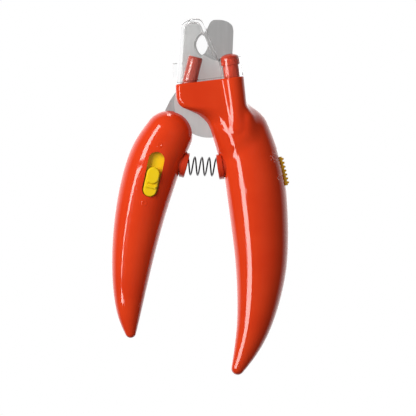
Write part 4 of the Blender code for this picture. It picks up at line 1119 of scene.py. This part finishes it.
def make_spring(mats):
    """Coil between the cups. It rides on both handles."""
    start = SPRING_LEFT + CUP_LEFT_WAY * 0.1
    end = SPRING_RIGHT + CUP_RIGHT_WAY * 0.1
    along = (end - start).normalized()
    side = along.cross(Vector((0, 1, 0))).normalized()
    other = along.cross(side)
    per_turn = 48
    count = int(SPRING_TURNS * per_turn)
    points = []
    for i in range(count + 1):
        angle = 2 * math.pi * i / per_turn
        radial = side * math.cos(angle) + other * math.sin(angle)
        points.append(start + (end - start) * (i / count) + radial * SPRING_R)
    spring = wire("return_spring_coil", points, SPRING_WIRE_R)
    spring.data.transform(Matrix.Translation(SHIFT) @ Matrix.Diagonal((MM, MM, MM, 1.0)))
    spring.data.materials.append(mats["spring"])
    spring.data.shade_smooth()
    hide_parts("return_spring")
    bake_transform(spring)


def make_cups(mats):
    cases = (("spring_cup_left", SPRING_LEFT, CUP_LEFT_WAY, "left_handle"),
             ("spring_cup_right", SPRING_RIGHT, CUP_RIGHT_WAY, "right_handle"))
    for name, seat, inward, body in cases:
        e = 0.25
        profile = [(0.0, -CUP_DEPTH), (CUP_NECK_R, -CUP_DEPTH), (CUP_NECK_R, -CUP_FLANGE),
                   (CUP_R - e, -CUP_FLANGE), (CUP_R, -CUP_FLANGE + e), (CUP_R, -e), (CUP_R - e, 0.0),
                   (SPRING_R + 0.9, 0.0), (SPRING_R + 0.8, -0.1), (SPRING_R + 0.8, -1.5), (2.5, -1.5),
                   (2.5, 0.0), (2.3, 0.1), (0.0, 0.1)]
        finish(turned(name + "_moulded", profile, seat, inward), mats["red_cup"], body, name)


def dress_nodes(mats):
    """Materials for the CAD nodes that are shown as they are: hardware, cells, leads and inner parts."""
    by_slot = {"red_plastic": "red", "yellow_plastic": "yellow", "blade_steel": "blade", "brass": "brass",
               "blade_steel_dark": "blade_dark", "hardware_steel": "steel", "spring_steel": "spring",
               "dark_plastic": "dark", "clear_plastic": "clear"}
    for part in frame["record"]["subparts"]:
        obj = frame["nodes"][part["node"]]
        obj.data.materials.clear()
        obj.data.materials.append(mats[by_slot[part["material_slot"]]])


# ---------------------------------------------------------------- studio

def softbox(name, place, aim, width, height, power, colour=(1, 1, 1)):
    """A broad area light that lights only the diffuse colour."""
    light = bpy.data.lights.new(name, "AREA")
    light.shape = "RECTANGLE"
    light.size = width
    light.size_y = height
    light.energy = power
    light.color = colour
    obj = bpy.data.objects.new(name, light)
    obj.location = place
    way = Vector(aim) - Vector(place)
    obj.rotation_euler = way.to_track_quat("-Z", "Y").to_euler()
    bpy.context.scene.collection.objects.link(obj)
    obj.visible_transmission = False
    obj.visible_glossy = False
    obj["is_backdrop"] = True
    return obj


def surface_point(field, x, z):
    """Foremost point of a moulded shape at (x, z), with its normal."""
    step, e = 0.04, 0.4
    deep = np.arange(-17.0, 0.0, step)
    value = field(np.stack([np.full(deep.shape, x), deep, np.full(deep.shape, z)], -1))
    i = int(np.argmax(value < 0))
    y = deep[i - 1] + step * value[i - 1] / (value[i - 1] - value[i]) if i else deep[int(np.argmin(value))]
    point = np.array((x, y, z))
    slope = field(point + e * np.eye(3)) - field(point - e * np.eye(3))
    return Vector(point), Vector(slope).normalized()


def beside(line, streak):
    """The path (x, z, width) of a streak beside a line of (x, z, half width)."""
    shares, widths = streak
    line = np.array(line)
    along = np.linspace(0.0, 1.0, len(line))
    way = np.gradient(line[:, :2], axis=0)
    across = np.stack([-way[:, 1], way[:, 0]], axis=1) / np.linalg.norm(way, axis=1)[:, None]
    off = np.interp(along, (0.0, 0.5, 1.0), shares) * line[:, 2]
    return np.column_stack([line[:, :2] + across * off[:, None], np.interp(along, (0.0, 0.5, 1.0), widths)])


def ribbon(name, field, path, glow, receivers, before=0.0):
    """A glowing ribbon in front of the trimmer whose mirror image follows a path of (x, z, width).

    Both its edges are cubic curves. It starts before the path by this share of its length.
    """
    sides = [[], []]
    for x, z, width in path:
        for side, offset in zip(sides, (-width / 2, width / 2)):
            point, normal = surface_point(field, x + offset, z)
            view = Vector((0.0, 1.0, 0.0))
            side.append((point * MM + SHIFT) + (view - normal * (2 * view.dot(normal))) * RIBBON_FAR)
    sides = np.array(sides)
    at = np.linspace(0.0, 1.0, sides.shape[1])
    spread = np.linspace(-before, 1.0, sides.shape[1])
    rows = np.array([[np.polyval(np.polyfit(at, side[:, axis], 3), spread) for axis in range(3)]
                     for side in sides])
    rows = rows.transpose(0, 2, 1)
    count = rows.shape[1]
    mesh = bpy.data.meshes.new(name)
    faces = [(i, i + 1, count + i + 1, count + i) for i in range(count - 1)]
    mesh.from_pydata(rows.reshape(-1, 3).tolist(), [], faces)
    obj = new_object(name, mesh)
    material, _, shader = base_material(name)
    shader.inputs["Base Color"].default_value = (0.0, 0.0, 0.0, 1.0)
    shader.inputs["Emission Color"].default_value = (1.0, 0.97, 0.95, 1.0)
    shader.inputs["Emission Strength"].default_value = glow
    obj.data.materials.append(material)
    obj.visible_camera = False
    obj.visible_diffuse = False
    obj.visible_shadow = False
    obj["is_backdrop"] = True
    link_light(obj, name + "_receivers", receivers)


def axis_ribbon(name, foot, way, length, radii, reach, streak, glow, receivers):
    """A ribbon whose image lies beside the axis of a turned shape of these end radii, over this reach."""
    end = foot + way * length
    start, stop = np.array((foot.x, foot.z, radii[0])), np.array((end.x, end.z, radii[1]))
    line = start + (stop - start) * np.linspace(*reach, 11)[:, None] / length
    ribbon(name, lambda p: cone_field(p, foot, end, *radii), beside(line, streak), glow, receivers)


def link_light(light, name, receivers, state="INCLUDE"):
    """Lets a light reach only these pieces, or all but these."""
    group = bpy.data.collections.new(name)
    for i, receiver in enumerate(receivers):
        group.objects.link(receiver)
        group.collection_objects[i].light_linking.link_state = state
    light.light_linking.receiver_collection = group


def make_world():
    """White to the eye and through clear plastic; for gloss, white behind the object and dim in front."""
    world = bpy.data.worlds.new("studio")
    bpy.context.scene.world = world
    world.use_nodes = True
    tree = world.node_tree
    background = tree.nodes["Background"]
    rays = tree.nodes.new("ShaderNodeLightPath").outputs
    incoming = split(tree, tree.nodes.new("ShaderNodeNewGeometry").outputs["Incoming"])
    behind = ramp(tree, incoming["Y"], -0.05, -0.6, GLOSS_FRONT, GLOSS_BEHIND)
    unscattered = ramp(tree, rays["Diffuse Depth"], 0.0, 1.0, 1.0, 0.0)
    unmirrored = ramp(tree, rays["Glossy Depth"], 0.0, 1.0, 1.0, 0.2)
    direct = calc(tree, "MULTIPLY", unscattered, unmirrored)
    through = calc(tree, "MULTIPLY", rays["Is Transmission Ray"], direct)
    seen = calc(tree, "MAXIMUM", rays["Is Camera Ray"], through)
    total = number_mix(tree, seen, number_mix(tree, rays["Is Glossy Ray"], AMBIENT, behind), 1.0)
    tree.links.new(total, background.inputs["Strength"])
    background.inputs["Color"].default_value = (1.0, 1.0, 1.0, 1.0)


def make_lights():
    """Soft boxes, of which the blades have their own, and the ribbons that show as long highlights."""
    middle = (0.0, 0.0, -0.045)
    key = softbox("key", (-0.50, -0.50, 0.22), middle, 0.4, 0.6, 6.6, (1.0, 0.99, 0.97))
    fill = softbox("fill", (0.25, -0.7, 0.0), middle, 0.5, 0.6, 1.2, (1.0, 0.96, 0.94))
    softbox("back", (0.35, 0.7, 0.25), middle, 0.5, 0.6, 3.0)
    shown = {obj.name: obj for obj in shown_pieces()}
    blades = [shown["front_blade_ground"], shown["rear_blade_ground"]]
    link_light(key, "not_blades", blades, "EXCLUDE")
    link_light(fill, "not_blades_fill", blades, "EXCLUDE")
    blade_key = softbox("blade_key", (-0.50, -0.50, 0.22), middle, 0.4, 0.6, 1.5)
    link_light(blade_key, "blade_key_receivers", blades)
    blade_fill = softbox("blade_fill", (-0.1, -0.7, 0.1), middle, 0.5, 0.6, 4.6)
    blade_fill.data.use_shadow = False
    link_light(blade_fill, "blade_fill_receivers", blades)
    left = [shown["left_front_skin"], shown["left_back_skin"]]
    right = [shown[name] for name in ("right_front_skin", "right_back_skin", "battery_door_skin")]
    above_tip = smooth_line(LEFT_HORN, 10)[:58]
    below_head = smooth_line(RIGHT_HORN, 10)[13:]
    ribbon("ribbon_left", left_field, beside(above_tip, STREAK_LEFT), 12.0, left)
    ribbon("ribbon_dome", left_field, STREAK_DOME, 8.0, left)
    ribbon("ribbon_right", right_front_field, beside(below_head, STREAK_RIGHT), 11.0, right, before=0.25)
    axis_ribbon("ribbon_knuckle", POST_FOOT, -POST_UP, KNUCKLE_LENGTH, (KNUCKLE_R, KNUCKLE_END_R),
                (0.7, 19.7), STREAK_KNUCKLE, 10.0, right)
    axis_ribbon("ribbon_post", POST_FOOT, POST_UP, 12.0, (POST_COLLAR_R, POST_COLLAR_R), (1.5, 8.4),
                STREAK_POST, 12.0, [shown["cover_post_turned"], shown["nail_cover_clear"]])
    axis_ribbon("ribbon_lamp", LAMP_FOOT, LAMP_WAY, 12.0, (LAMP_R, LAMP_R), (0.0, 10.2),
                STREAK_LAMP, 12.0, [shown["lamp_barrel_turned"], shown["nail_cover_clear"]])


def make_floor():
    """Pale floor below the trimmer, which neither shows in its gloss nor tints it."""
    z = -0.13
    mesh = bpy.data.meshes.new("floor")
    mesh.from_pydata([(-3, -3, z), (3, -3, z), (3, 3, z), (-3, 3, z)], [], [(0, 1, 2, 3)])
    floor = new_object("floor", mesh)
    material, _, shader = base_material("floor_pale")
    shader.inputs["Base Color"].default_value = (0.9, 0.9, 0.9, 1.0)
    shader.inputs["Roughness"].default_value = 0.6
    floor.data.materials.append(material)
    floor.visible_glossy = False
    floor.visible_diffuse = False
    floor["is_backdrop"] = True


def make_camera():
    """Straight from the front, without perspective."""
    camera = bpy.data.cameras.new("camera")
    camera.type = "ORTHO"
    camera.ortho_scale = 0.1747
    camera.clip_start = 0.01
    camera.clip_end = 10
    eye = bpy.data.objects.new("camera", camera)
    eye.location = (-0.0004, -0.6, -0.0441)
    eye.rotation_euler = (math.pi / 2, 0, 0)
    bpy.context.scene.collection.objects.link(eye)
    bpy.context.scene.camera = eye
    bpy.context.scene.view_settings.view_transform = "Standard"


MATS = make_materials()
dress_nodes(MATS)
make_left_handle(MATS["red_left"])
make_right_handle(MATS["red_right"])
make_blades(MATS)
make_post(MATS["red_post_painted_shade"])
make_cover(MATS["clear"])
make_lamp(MATS)
make_lock(MATS)
make_switch(MATS)
make_spring(MATS)
make_cups(MATS)
make_world()
make_lights()
make_floor()
make_camera()
